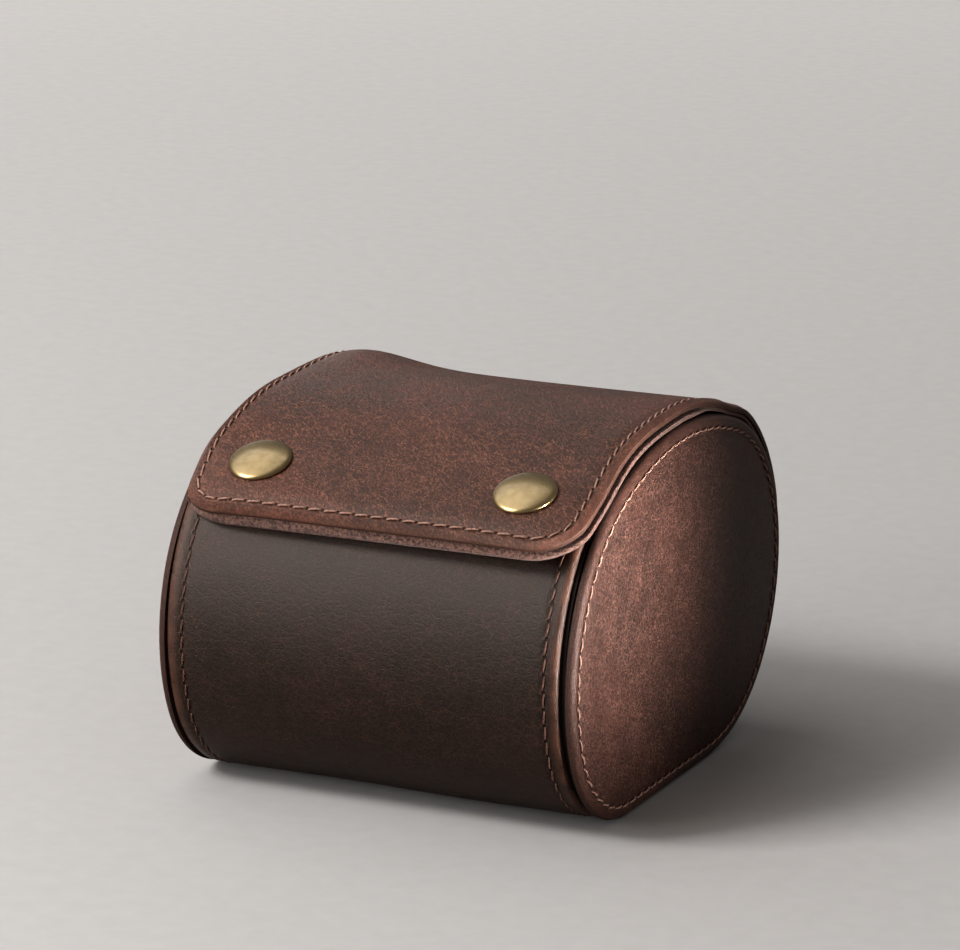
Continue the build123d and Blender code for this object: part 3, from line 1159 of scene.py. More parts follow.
@dataclass
class Sewing:
    """A row of stitches: one thread loop, copied along a seam."""

    pitch: float = 3.3
    thread: float = 0.62
    reach: float = 0.84
    slant: float = 7.0
    proud: float = 0.26

    def _one(self) -> Piece:
        """Make one stitch that dips into its needle holes at both ends.

        Returns:
            The stitch, along X about the origin.
        """
        half = self.pitch * self.reach / 2
        # (place along, height, girth) of each ring of the thread
        rings = [
            (-1.0, -0.55, 0.7), (-0.86, 0.2, 0.9), (-0.4, 0.85, 1.0), (0.4, 0.85, 1.0),
            (0.86, 0.2, 0.9), (1.0, -0.55, 0.7),
        ]
        stitch = start_piece(
            "stitch",
            "circle",
            vertices=6,
            radius=self.thread / 2 * rings[0][2] * MM,
            fill_type="NGON",
            location=(rings[0][0] * half * MM, 0, rings[0][1] * self.proud * MM),
            rotation=(0, pi / 2, 0),
        )
        bpy.ops.object.transform_apply(location=True, rotation=True, scale=True)
        with editing(stitch, "FACE"):
            for here, there in zip(rings, rings[1:]):
                step = ((there[0] - here[0]) * half * MM, 0.0, (there[1] - here[1]) * self.proud * MM)
                bpy.ops.mesh.extrude_region_move(TRANSFORM_OT_translate={"value": step})
                girth = there[2] / here[2]
                bpy.ops.transform.resize(value=(1.0, girth, girth))
        tidy_skin(stitch, corner=80.0)
        return stitch

    def sew(self, name: str, frames: list[Matrix]) -> Piece:
        """Copy the stitch to every frame and join the row.

        Args:
            name: the row's name.
            frames: where each stitch lies, with X along the seam and Z outwards.

        Returns:
            The row of stitches.
        """
        stitch = self._one()
        tilt = Matrix.Rotation(radians(self.slant), 4, "Z")
        row = []
        for place in frames:
            twin = copy_of(stitch, "stitch_copy")
            twin.data.transform(place @ tilt)
            row.append(twin)
        bpy.data.objects.remove(stitch)
        return join(row, name)

    def along(self, seam: Track, first: float, last: float) -> list[Matrix]:
        """Lay stitches along a seam in the flat sheet, centred between needle holes.

        Args:
            seam: the seam in the sheet's plane.
            first: where the row begins along the seam, in mm.
            last: where it ends.

        Returns:
            One frame for each stitch.
        """
        begin = int(np.ceil(first / self.pitch))
        end = int(np.floor(last / self.pitch))
        runs = (np.arange(begin, end) + 0.5) * self.pitch
        points, headings = seam.at(runs)
        return [
            Matrix.Translation(Vector((point[0], point[1], 0.0)) * MM)
            @ Matrix.Rotation(heading, 4, "Z")
            for point, heading in zip(points, headings)
        ]


# ---------------------------------------------------------------- cutting and shaping


def split(piece: Piece, run: float, names: tuple[str, str]) -> list[Piece]:
    """Cut a flat piece in two across its length, each half closed at the cut.

    Args:
        piece: the flat piece, which is used up.
        run: where the cut lies along Y, in mm.
        names: names for the half before the cut and the half after it.

    Returns:
        The two halves.
    """
    halves = []
    for name, before in zip(names, (True, False)):
        half = copy_of(piece, name)
        with editing(half, "FACE"):
            bpy.ops.mesh.bisect(
                plane_co=(0, run * MM, 0),
                plane_no=(0, 1, 0),
                use_fill=True,
                clear_outer=before,
                clear_inner=not before,
            )
        halves.append(half)
    bpy.data.objects.remove(piece)
    return halves


def ridge(away: np.ndarray, reach: float) -> np.ndarray:
    """A soft ridge that is 1 on a line and fades within a reach to each side of it."""
    return np.exp(-((away / reach) ** 2))


def ease(share: np.ndarray) -> np.ndarray:
    """Hold a share between 0 and 1, and ease it in and out."""
    share = np.clip(share, 0.0, 1.0)
    return share * share * (3 - 2 * share)


def build_disc(
    name: str,
    outline: Callable[[float], Track],
    start_x: float,
    contour: list[tuple[float, float]],
    count: int,
) -> Piece:
    """Build a disc with the case's outline, facing along X, from its rim to its middle.

    Args:
        name: the piece's name.
        outline: gives the outline's track at an inset in mm.
        start_x: where the disc's hidden face lies, in mm.
        contour: (inset, x) points in mm that its other face passes, from the rim inwards.
        count: points round the rim.

    Returns:
        The disc, closed.
    """
    first = contour[0][0]
    track = outline(first)
    points, _ = track.at(np.linspace(0.0, track.length, count, endpoint=False))
    piece = start_piece(name, "circle", vertices=count, fill_type="NOTHING")
    write_places(piece, np.column_stack([np.full(count, start_x), points]))
    ahead = 1.0 if contour[-1][1] > start_x else -1.0
    with editing(piece, "EDGE"):
        bpy.ops.mesh.edge_face_add()
    with editing(piece, "FACE"):
        bpy.ops.mesh.normals_make_consistent(inside=False)
    if piece.data.polygons[0].normal.x * ahead < 0:
        with editing(piece, "FACE"):
            bpy.ops.mesh.flip_normals()
    with editing(piece, "FACE"):
        step = (contour[0][1] - start_x) * MM
        bpy.ops.mesh.extrude_region_move(TRANSFORM_OT_translate={"value": (step, 0, 0)})
        for here, there in zip(contour, contour[1:]):
            bpy.ops.mesh.inset(
                thickness=(there[0] - here[0]) * MM,
                depth=(there[1] - here[1]) * ahead * MM,
                use_even_offset=True,
            )
        bpy.ops.mesh.poke()
    return piece


# ---------------------------------------------------------------- sub-assemblies


@dataclass
class Wrap:
    """The tube of the case: its hide sewn along both edges, its board and its lining."""

    shape: CaseShape
    finishes: Finishes
    seam_inset: float = 3.54
    lip_inset: float = 2.0
    seam_corner: float = 1.5
    edge_drop: float = 0.5
    edge_reach: float = 2.4
    groove: float = 0.28
    groove_reach: float = 0.6
    sag: float = 0.12
    short: float = 0.8
    row_inset: float = 2.0
    lining_side: float = 0.2
    lining_end: float = 0.15

    def _seam(self, length: float) -> Track:
        """The seam: up one edge from the back, across the lip and down the other edge.

        Args:
            length: the flat hide's length in mm.

        Returns:
            The seam.
        """
        side = self.shape.wrap_half_length - self.seam_inset
        run = length - self.lip_inset - self.seam_corner
        track = Track((side, length), -90.0).line(run).arc(self.seam_corner, -90.0)
        track.line(2 * (side - self.seam_corner)).arc(self.seam_corner, -90.0)
        return track.line(run)

    def _relief(self, seam: Track) -> Relief:
        """How the hide's face rises and falls over the tube.

        Args:
            seam: the seam in the flat hide.

        Returns:
            A relief for the hide and all that lies on it.
        """
        half = self.shape.wrap_half_length

        def height(x: np.ndarray, y: np.ndarray, z: np.ndarray) -> np.ndarray:
            """Height over the profile at a flat place.

            Args:
                x: places across the case, in mm.
                y: places along the profile.
                z: heights in the flat piece.

            Returns:
                Heights over the profile, in mm.
            """
            _, across = seam.locate(np.column_stack([x, y]))
            reach = half - self.short * (x > 0)
            edge = np.clip(1.0 - (reach - np.abs(x)) / self.edge_reach, 0.0, 1.0)
            # Slow waves a few centimetres long, bent so that they don't line up
            wave = np.sin(x / 9.5 + 0.8 * np.sin(y / 13.0)) * np.sin(y / 11.0 + 0.6)
            pressed = self.groove * ridge(across, self.groove_reach)
            return z + self.sag * (wave - 1.0) - self.edge_drop * edge**2 - pressed

        return height

    def build(self) -> list[Piece]:
        """Cut, sew and line the tube.

        Returns:
            The tube's pieces.
        """
        profile = self.shape.wrap_profile()
        length = profile.track.length
        seam = self._seam(length)
        relief = self._relief(seam)
        sewing = Sewing(pitch=3.39, thread=0.36)
        inset = self.seam_inset
        hide = FlatCut(
            "wrap_hide",
            self.shape.wrap_half_length - self.short / 2,
            0.0,
            length,
            0.0,
            self.shape.wrap_leather,
            edge_lines=(0.0, 1.1, 1.9, 2.6, inset - 0.45, inset, inset + 0.45, 4.8),
            edge_round=0.75,
        ).cut()
        # The hide stops short of the right end
        hide.data.transform(Matrix.Translation((-self.short / 2 * MM, 0, 0)))
        keep_cut(hide)
        mark_seam(hide, read_places(hide)[:, :2], seam, sewing.pitch, closed=False)
        profile.form(hide, relief)
        tidy_skin(hide)
        self.finishes.put(hide, Finish.BODY_HIDE, "wrap_leather")
        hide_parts("wrap_leather")
        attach(hide, "case")

        row = sewing.along(seam, self.row_inset, seam.length - self.row_inset)
        thread = sewing.sew("wrap_thread", row)
        profile.form(thread, relief)
        self.finishes.put(thread, Finish.DARKER_THREAD)
        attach(thread, "case")

        top = -self.shape.wrap_leather - self.shape.wrap_board
        lining = FlatCut(
            "wrap_lining_cloth",
            self.shape.wrap_half_length - self.lining_side,
            self.lining_end,
            length - self.lining_end,
            top,
            self.shape.wrap_lining,
            edge_lines=(0.0, 0.8, 1.8),
            step=2.5,
            edge_round=0.3,
        ).cut()
        keep_cut(lining)
        profile.form(lining, lambda _x, _y, z: z)
        tidy_skin(lining)
        self.finishes.put(lining, Finish.MICROFIBRE, "microfibre")
        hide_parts("wrap_lining")
        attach(lining, "case")
        board = frame["nodes"]["wrap_board"]
        self.finishes.put(board, Finish.BOARD)
        return [hide, thread, lining, board]


@dataclass
class EndPanels:
    """The two ends: a rounded, sewn hide disc on its backing, and the lined plug inside."""

    shape: CaseShape
    finishes: Finishes
    seam_inset: float = 2.56
    leather: float = 1.7
    board: float = 1.5
    lining: float = 0.9
    clearance: float = 0.8
    count: int = 200
    plug_count: int = 120
    stitch: float = 3.32
    stitch_drop: float = 0.26
    left_shift: float = 83.0

    def _contour(self) -> list[tuple[float, float]]:
        """The hide's face from its edge inwards: bead, sewn groove and gently crowned field.

        Returns:
            (inset, x) points in mm.
        """
        face = self.shape.length / 2
        seam = self.seam_inset
        levels = [
            (0.0, -1.5), (0.05, -1.1), (0.2, -0.72), (0.45, -0.4), (0.8, -0.15), (1.15, -0.03),
            (1.5, 0.0), (1.85, -0.07), (seam - 0.35, -0.2), (seam, -0.32), (seam + 0.35, -0.24),
            (seam + 0.9, -0.1), (seam + 1.8, 0.02), (6.5, 0.1), (9.5, 0.18), (13.0, 0.25), (17.0, 0.3),
            (21.5, 0.33), (26.0, 0.35),
        ]
        return [(inset, face + level) for inset, level in levels]

    def _hide(self) -> Piece:
        """Build the right end's hide.

        Returns:
            The hide.
        """
        hidden = self.shape.length / 2 - self.leather
        outline = self.shape.panel_outline
        hide = build_disc("right_end_hide", outline, hidden, self._contour(), self.count)
        tidy_skin(hide, corner=60.0)
        return hide

    def _plug(self) -> Piece:
        """Build the lining of the right end's plug, which fits inside the tube.

        Returns:
            The lining.
        """
        inside = self.shape.wrap_half_length - self.board
        face = inside - self.lining
        inset = self.shape.wrap_total + self.clearance
        contour = [
            (inset, face + 0.35), (inset + 0.1, face + 0.15), (inset + 0.4, face),
            (inset + 4.0, face - 0.05), (inset + 14.0, face - 0.1),
        ]
        outline = self.shape.panel_outline
        plug = build_disc("right_plug_lining", outline, inside, contour, self.plug_count)
        tidy_skin(plug, corner=60.0)
        return plug

    def _mark(self, hide: Piece, seam: Track, pitch: float, shift: float) -> None:
        """Keep the grain's place and the seam's on an end's hide.

        Args:
            hide: the hide.
            seam: the seam's track in the end's plane.
            pitch: the seam's stitch pitch.
            shift: moves the grain, in mm, so that the ends differ.
        """
        places = read_places(hide)
        across_case = np.abs(places[:, 0]) - self.shape.length / 2
        cut = np.column_stack([places[:, 1] + shift, places[:, 2] + shift, across_case]) * MM
        attribute = hide.data.attributes.new("cut", "FLOAT_VECTOR", "POINT")
        attribute.data.foreach_set("vector", cut.ravel())
        mark_seam(hide, places[:, 1:], seam, pitch, closed=True)

    def build(self) -> list[Piece]:
        """Build and sew both ends.

        Returns:
            The pieces of both ends.
        """
        seam = self.shape.panel_outline(self.seam_inset)
        count = round(seam.length / self.stitch)
        sewing = Sewing(pitch=seam.length / count, thread=0.42, slant=9.0)
        points, headings = seam.at((np.arange(count) + 0.5) * sewing.pitch)
        face = self.shape.length / 2 - self.stitch_drop
        frames = []
        for point, heading in zip(points, headings):
            along = Vector((0.0, cos(heading), sin(heading)))
            frames.append(frame_at(Vector((face, point[0], point[1])), along, ALONG))
        thread = sewing.sew("right_end_thread", frames)
        pieces = []
        for side, (hide, thread, plug) in both_ends([self._hide(), thread, self._plug()]).items():
            self._mark(hide, seam, sewing.pitch, 0.0 if side == "right" else self.left_shift)
            keep_cut(plug)
            self.finishes.put(hide, Finish.END_HIDE, "end_leather")
            self.finishes.put(thread, Finish.THREAD)
            self.finishes.put(plug, Finish.MICROFIBRE, "microfibre")
            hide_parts(f"{side}_end_leather")
            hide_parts(f"{side}_end_lining")
            for piece in (hide, thread, plug):
                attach(piece, "case")
            boards = [frame["nodes"][f"{side}_end_{part}"] for part in ("backing", "board")]
            for board in boards:
                self.finishes.put(board, Finish.BOARD)
            pieces += [hide, thread, plug, *boards]
        return pieces


@dataclass(frozen=True)
class Swelling:
    """A soft rise or fall in the flap, where the hide has relaxed."""

    x: float
    run: float
    wide: float
    long: float
    rise: float

    def at(self, x: np.ndarray, y: np.ndarray) -> np.ndarray:
        """The swelling's height at flat places."""
        return self.rise * ridge(x - self.x, self.wide) * ridge(y - self.run, self.long)


@dataclass
class Flap:
    """The flap: one hide and its suede lining, from the snaps over the fold to the back."""

    shape: CaseShape
    finishes: Finishes
    front_edge: float = 2.3
    half_width: float = 42.05
    seam_inset: float = 2.55
    back_inset: float = 4.4
    back_corner: float = 3.0
    corner_less: float = 1.2
    suede_past: float = 0.55
    suede_shift: float = 0.4
    shift: float = 0.35
    suede_front: float = 0.8
    suede_back: float = 0.3
    narrow_from: float = 62.0
    narrow_over: float = 14.0
    narrow_by: float = 0.6
    hide_skived: float = 0.95
    suede_skived: float = 0.7
    skive_from: float = 7.0
    skive_over: float = 10.0
    edge_roll: float = 0.95
    roll_most: float = 1.6
    roll_lean: float = 0.6
    groove: float = 0.3
    groove_reach: float = 0.65
    parting: float = 0.35
    bead: float = 0.3
    bead_reach: float = 0.6
    front_level: float = -0.05
    crown_level: float = -1.6
    crown_from: float = 29.0
    crown_over: float = 26.0
    back_level: float = -0.35
    back_from: float = 82.0
    back_over: float = 14.0
    seat: float = -0.25
    seat_reach: float = 8.0
    free_half_width: float = 41.0
    free_drop: float = 0.9
    suede_least: float = 0.5
    rest_past: float = 8.0
    rest_gap: float = 0.12
    rest_most: float = 1.6
    fold_stretch: float = 1.8
    stitch: float = 3.3
    swellings: tuple[Swelling, ...] = (
        Swelling(41.0, 8.0, 9.0, 9.0, -1.1),
        Swelling(-42.0, 6.0, 8.0, 9.0, -2.7),
        Swelling(-41.0, 21.0, 9.0, 8.0, 1.0),
        Swelling(42.0, 19.0, 8.0, 6.0, -0.6),
        Swelling(0.0, 78.0, 45.0, 14.0, -0.6),
        Swelling(-34.0, 76.0, 12.0, 12.0, 2.3),
        Swelling(-43.0, 72.0, 6.0, 14.0, -0.9),
        Swelling(-43.0, 55.0, 9.0, 13.0, -0.4),
    )

    @property
    def _seam_side(self) -> float:
        """How far from the middle the seam's sides run."""
        return self.half_width - self.seam_inset

    def _seam(self, length: float) -> Track:
        """The seam, a closed loop that starts at the middle of the sewn-down end.

        Args:
            length: the flat flap's length in mm.

        Returns:
            The seam.
        """
        side = self._seam_side
        front = self.shape.flap_corner - self.corner_less - self.seam_inset
        back = 1.0
        run = length - self.back_inset - back - self.front_edge - self.seam_inset - front
        track = Track((0.0, length - self.back_inset), 0.0)
        track.line(side - back).arc(back, -90.0).line(run).arc(front, -90.0)
        track.line(2 * (side - front)).arc(front, -90.0).line(run).arc(back, -90.0)
        return track.line(side - back)

    def _rest(self, profile: Profile, runs: np.ndarray) -> np.ndarray:
        """How low the lining's back may lie over the ends' rims, by place along the flap.

        Args:
            profile: the flap's outer face.
            runs: places along it, in mm.

        Returns:
            The lowest height of the lining's back over the profile, in mm.
        """
        steps = np.arange(-self.rest_past, profile.track.length + self.rest_past, 1.0)
        points, headings = profile.track.at(steps)
        out = np.stack([-np.sin(headings), np.cos(headings)], -1)
        below = points - out * self.shape.flap_total
        _, clear = self.shape.panel_outline().locate(below)
        # A running mean over five millimetres takes out the corners
        clear = np.convolve(np.pad(clear, 2, "edge"), np.ones(5) / 5, "valid")
        drop = np.clip(clear - self.rest_gap, 0.0, self.rest_most)
        return -self.shape.flap_total - np.interp(runs, steps, drop)

    def _relief(self, seam: Track, profile: Profile, lining: float) -> Relief:
        """How the flap's faces lie: domed, pressed at the snaps and seam, thinned and turned
        down by its edges, and resting on the ends' rims.

        Args:
            seam: the seam in the flat hide.
            profile: the flap's outer face.
            lining: 1 for the lining, which parts from the hide's rounded rim, or 0.

        Returns:
            A relief for the hide, its lining and the thread.
        """
        shape = self.shape
        snap_run = radians(shape.snap_turn - shape.brow[1]) * shape.brow[0] + shape.flap_ahead

        def height(x: np.ndarray, y: np.ndarray, z: np.ndarray) -> np.ndarray:
            """Height over the profile at a flat place.

            Args:
                x: places across the case, in mm.
                y: places along the profile.
                z: heights in the flat piece.

            Returns:
                Heights over the profile, in mm.
            """
            _, across = seam.locate(np.column_stack([x, y]))
            drop = self.crown_level - self.front_level
            face = self.front_level + drop * ease((y - self.crown_from) / self.crown_over)
            for swelling in self.swellings:
                face += swelling.at(x, y)
            face += (self.back_level - face) * ease((y - self.back_from) / self.back_over)
            for _, side in SIDES:
                away = np.hypot(x - side * shape.snap_spacing / 2, y - snap_run)
                face += (self.seat - face) * np.exp(-((away / self.seat_reach) ** 4))
            beyond = np.clip(across / self.seam_inset, 0.0, self.roll_most)
            face -= (self.edge_roll - self.roll_lean * x / self.half_width) * beyond**2
            face += self.bead * ridge(across - 0.45 * self.seam_inset, self.bead_reach)
            skived = ease((across + self.skive_from) / self.skive_over)
            middle = face - shape.flap_leather + self.hide_skived * skived
            under = middle - shape.flap_lining + self.suede_skived * skived
            between_ends = np.abs(x) < self.free_half_width
            under = np.maximum(under, self._rest(profile, y) - self.free_drop * between_ends)
            middle = np.maximum(middle, under + self.suede_least)
            pressed = self.groove * ridge(across, self.groove_reach)
            upper = np.clip(-z / shape.flap_leather, 0.0, 1.0)
            lower = np.clip((-z - shape.flap_leather) / shape.flap_lining, 0.0, 1.0)
            level = face + upper * (middle - face) + lower * (under - middle)
            parted = self.parting * ridge(across - self.seam_inset, self.bead_reach)
            level -= parted * (1.0 - lower) * lining
            return level + np.maximum(z, 0.0) - pressed * (1.0 - upper)

        return height

    def build(self) -> list[Piece]:
        """Cut, line, sew and form the flap, in two pieces that meet in the fold.

        Returns:
            The flap's pieces.
        """
        profile, front_hinge, back_hinge = self.shape.flap_profile()
        length = profile.track.length
        middle = (front_hinge + back_hinge) / 2
        seam = self._seam(length)
        sewing = Sewing(pitch=seam.length / round(seam.length / self.stitch), thread=0.46)
        inset = self.seam_inset
        corner = self.shape.flap_corner
        hide = FlatCut(
            "flap_sheet",
            self.half_width,
            self.front_edge,
            length,
            0.0,
            self.shape.flap_leather,
            front_corner=corner - self.corner_less,
            back_corner=self.back_corner,
            edge_lines=(0.0, 0.9, 1.5, 2.1, inset - 0.45, inset, inset + 0.45, 4.4, 5.4),
            step=1.3,
            edge_round=0.75,
        ).cut()
        suede = FlatCut(
            "flap_lining_sheet",
            self.half_width + self.suede_past,
            self.suede_front,
            length - self.suede_back,
            -self.shape.flap_leather,
            self.shape.flap_lining,
            front_corner=corner,
            back_corner=self.back_corner,
            edge_lines=(0.0, 0.6, 1.2, 1.9, 2.8, 4.0, 5.2),
            step=1.3,
            edge_round=0.3,
        ).cut()
        hides = split(hide, middle, ("flap_hide", "flap_end_hide"))
        suedes = split(suede, middle, ("flap_suede", "flap_end_suede"))
        frames = sewing.along(seam, 0.0, seam.length)
        threads = [
            sewing.sew("flap_thread", [f for f in frames if f.translation.y <= middle * MM]),
            sewing.sew("flap_end_thread", [f for f in frames if f.translation.y > middle * MM]),
        ]
        for piece in hides:
            keep_cut(piece)
            mark_seam(piece, read_places(piece)[:, :2], seam, sewing.pitch, closed=True)
        for piece in suedes:
            self._lay_nap(piece, front_hinge, back_hinge)
            self._draw_in(piece)
            piece.data.transform(Matrix.Translation((self.suede_shift * MM, 0, 0)))
        for piece in hides + suedes + threads:
            profile.form(piece, self._relief(seam, profile, float(piece in suedes)))
            piece.data.transform(Matrix.Translation((self.shift * MM, 0, 0)))
        for piece in hides + suedes:
            tidy_skin(piece)
        halves = list(zip(hides, suedes, threads))
        self._dress(halves)
        points, _ = profile.track.at(np.array([front_hinge, middle, back_hinge]))
        self._join_bodies(halves)
        return hides + suedes + threads

    def _lay_nap(self, suede: Piece, front_hinge: float, back_hinge: float) -> None:
        """Keep a lining's flat places, spread in the fold, where opening the flap stretches it.

        Args:
            suede: a piece of the lining, still flat.
            front_hinge: where the fold starts along the flap, in mm.
            back_hinge: where it ends.
        """
        flat = read_places(suede)
        spread = flat.copy()
        fold = np.clip(flat[:, 1] - front_hinge, 0.0, back_hinge - front_hinge)
        spread[:, 1] += (self.fold_stretch - 1.0) * fold
        write_places(suede, spread)
        keep_cut(suede)
        write_places(suede, flat)

    def _draw_in(self, suede: Piece) -> None:
        """Draw the lining's sides in under the hide behind the crown.

        Args:
            suede: a piece of the lining, still flat.
        """
        flat = read_places(suede)
        share = ease((flat[:, 1] - self.narrow_from) / self.narrow_over)
        flat[:, 0] *= 1.0 - share * (self.suede_past + self.narrow_by) / self.half_width
        write_places(suede, flat)

    def _dress(self, halves: list[tuple[Piece, ...]]) -> None:
        """Put the finishes on the flap's pieces, and let them stand for its solids.

        Args:
            halves: hide, lining and thread of the front half, and of the sewn-down end.
        """
        for hide, suede, thread in halves:
            self.finishes.put(hide, Finish.FLAP_HIDE, "flap_leather")
            self.finishes.put(suede, Finish.SUEDE, "suede")
            self.finishes.put(thread, Finish.THREAD)
        (hide, suede, _), (end_hide, end_suede, _) = halves
        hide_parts("flap_leather", "fold_leather")
        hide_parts("anchor_leather")
        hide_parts("flap_lining", "fold_lining")
        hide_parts("anchor_lining")

    def _join_bodies(self, halves: list[tuple[Piece, ...]]) -> None:
        """Bake each piece's transform into its mesh, for the front half and for the sewn-down end.

        Args:
            halves: the pieces of the front half, and of the sewn-down end.
        """
        for piece in halves[0]:
            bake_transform(piece)
        for piece in halves[1]:
            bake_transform(piece)


@dataclass
class PressSnaps:
    """The two ring-spring press snaps: cap and socket on the flap, stud and post on the wrap."""

    shape: CaseShape
    finishes: Finishes
    cap_radius: float = 6.25
    cap_rim: float = 0.5
    cap_rise: float = 1.6
    cap_roll: float = 0.55
    spring_radius: float = 3.05
    spring_wire: float = 0.5
    spring_height: float = 1.1
    spring_gap: float = 1.0
    steps: int = 72

    def _cap(self) -> Piece:
        """Turn the domed cap with its rolled rim and rivet shank.

        Returns:
            The cap, its axis on Z.
        """
        seat = self.shape.flap_total + self.shape.flap_gap
        top = seat + self.cap_rise
        crown = self.cap_rise - self.cap_rim
        dome = (self.cap_radius**2 + crown**2) / (2 * crown)
        reach = self.cap_radius - self.cap_roll
        radii = np.linspace(0.0, reach, 12)
        outline = [(float(r), float(top - r * r / (2 * dome))) for r in radii]
        edge = outline[-1][1]
        outline += [
            (reach + 0.24, edge - 0.12), (reach + 0.42, edge - 0.27), (reach + 0.52, edge - 0.46),
            (reach + 0.53, edge - 0.66), (reach + 0.44, edge - 0.84), (reach + 0.2, edge - 0.98),
            (reach - 0.3, edge - 1.05), (1.5, edge - 1.05), (1.5, 2.05), (2.0, 2.0), (2.0, 1.85),
            (0.0, 1.85),
        ]
        return turn_on_lathe("snap_cap", outline, self.steps)

    def _socket(self) -> Piece:
        """Turn the socket: a flange on the suede and a collar round the spring.

        Returns:
            The socket, its axis on Z.
        """
        outline = [
            (1.5, 2.5), (5.0, 2.5), (5.16, 2.42), (5.2, 2.25), (5.1, 2.1), (4.75, 1.98), (4.4, 1.75),
            (4.25, 1.4), (4.15, 0.95), (4.0, 0.76), (3.75, 0.7), (3.5, 0.76), (3.35, 0.95), (3.3, 1.4),
            (3.3, 1.9), (3.1, 2.05), (1.5, 2.05), (1.5, 2.5),
        ]
        return turn_on_lathe("snap_socket", outline, self.steps)

    def _stud(self) -> Piece:
        """Turn the stud: a rolled base and a mushroom head.

        Returns:
            The stud, its axis on Z.
        """
        outline = [
            (0.0, 1.32), (0.7, 1.34), (1.1, 1.48), (1.6, 1.5), (2.05, 1.4), (2.28, 1.18), (2.28, 0.98),
            (2.05, 0.8), (1.95, 0.62), (2.1, 0.5), (2.6, 0.45), (4.1, 0.42), (4.38, 0.32), (4.5, 0.14),
            (4.42, 0.0), (0.0, 0.0),
        ]
        return turn_on_lathe("snap_stud", outline, self.steps)

    def _post(self) -> Piece:
        """Turn the post: a low domed flange inside the case and its shank.

        Returns:
            The post, its axis on Z.
        """
        under = -self.shape.wrap_total
        outline = [
            (0.0, under - 0.62), (1.5, under - 0.6), (3.0, under - 0.5), (3.8, under - 0.38),
            (4.12, under - 0.24), (4.2, under - 0.08), (4.1, under), (1.5, under), (1.5, 0.3),
            (0.0, 0.3),
        ]
        return turn_on_lathe("snap_post", outline, self.steps)

    def _spring(self) -> Piece:
        """Bend the open ring spring from round wire.

        Returns:
            The spring, its axis on Z.
        """
        spring = start_piece(
            "snap_spring",
            "torus",
            major_segments=60,
            minor_segments=10,
            major_radius=self.spring_radius * MM,
            minor_radius=self.spring_wire / 2 * MM,
            location=(0, 0, self.spring_height * MM),
        )
        bpy.ops.object.transform_apply(location=True)
        half_gap = self.spring_gap / 2
        with editing(spring, "FACE", lambda place: place.x > 0 and abs(place.y) < half_gap):
            bpy.ops.mesh.delete(type="FACE")
        with editing(spring, "EDGE"):
            bpy.ops.mesh.fill_holes(sides=0)
        return spring

    def build(self) -> list[Piece]:
        """Turn each part once, and copy it to both snaps.

        Returns:
            The pieces of both snaps.
        """
        base = self.shape.snap_base()
        out = Vector((0.0, *self.shape.facing(self.shape.snap_turn)))
        parts = [
            (self._cap(), Finish.BRASS, "antique_brass", "flap"),
            (self._socket(), Finish.BRASS, "antique_brass", "flap"),
            (self._spring(), Finish.STEEL, "spring_steel", "flap"),
            (self._stud(), Finish.BRASS, "antique_brass", "case"),
            (self._post(), Finish.BRASS, "antique_brass", "case"),
        ]
        pieces = []
        for part, finish, slot, body in parts:
            tidy_skin(part, corner=50.0)
            for name, side in SIDES:
                spot = Vector((side * self.shape.snap_spacing / 2, base.x, base.y))
                node = f"{name}_{part.name}"
                twin = copy_of(part, f"{node}_turned")
                twin.data.transform(frame_at(spot, ALONG, out))
                self.finishes.put(twin, finish, slot)
                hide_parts(node)
                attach(twin, body)
                pieces.append(twin)
            bpy.data.objects.remove(part)
        return pieces


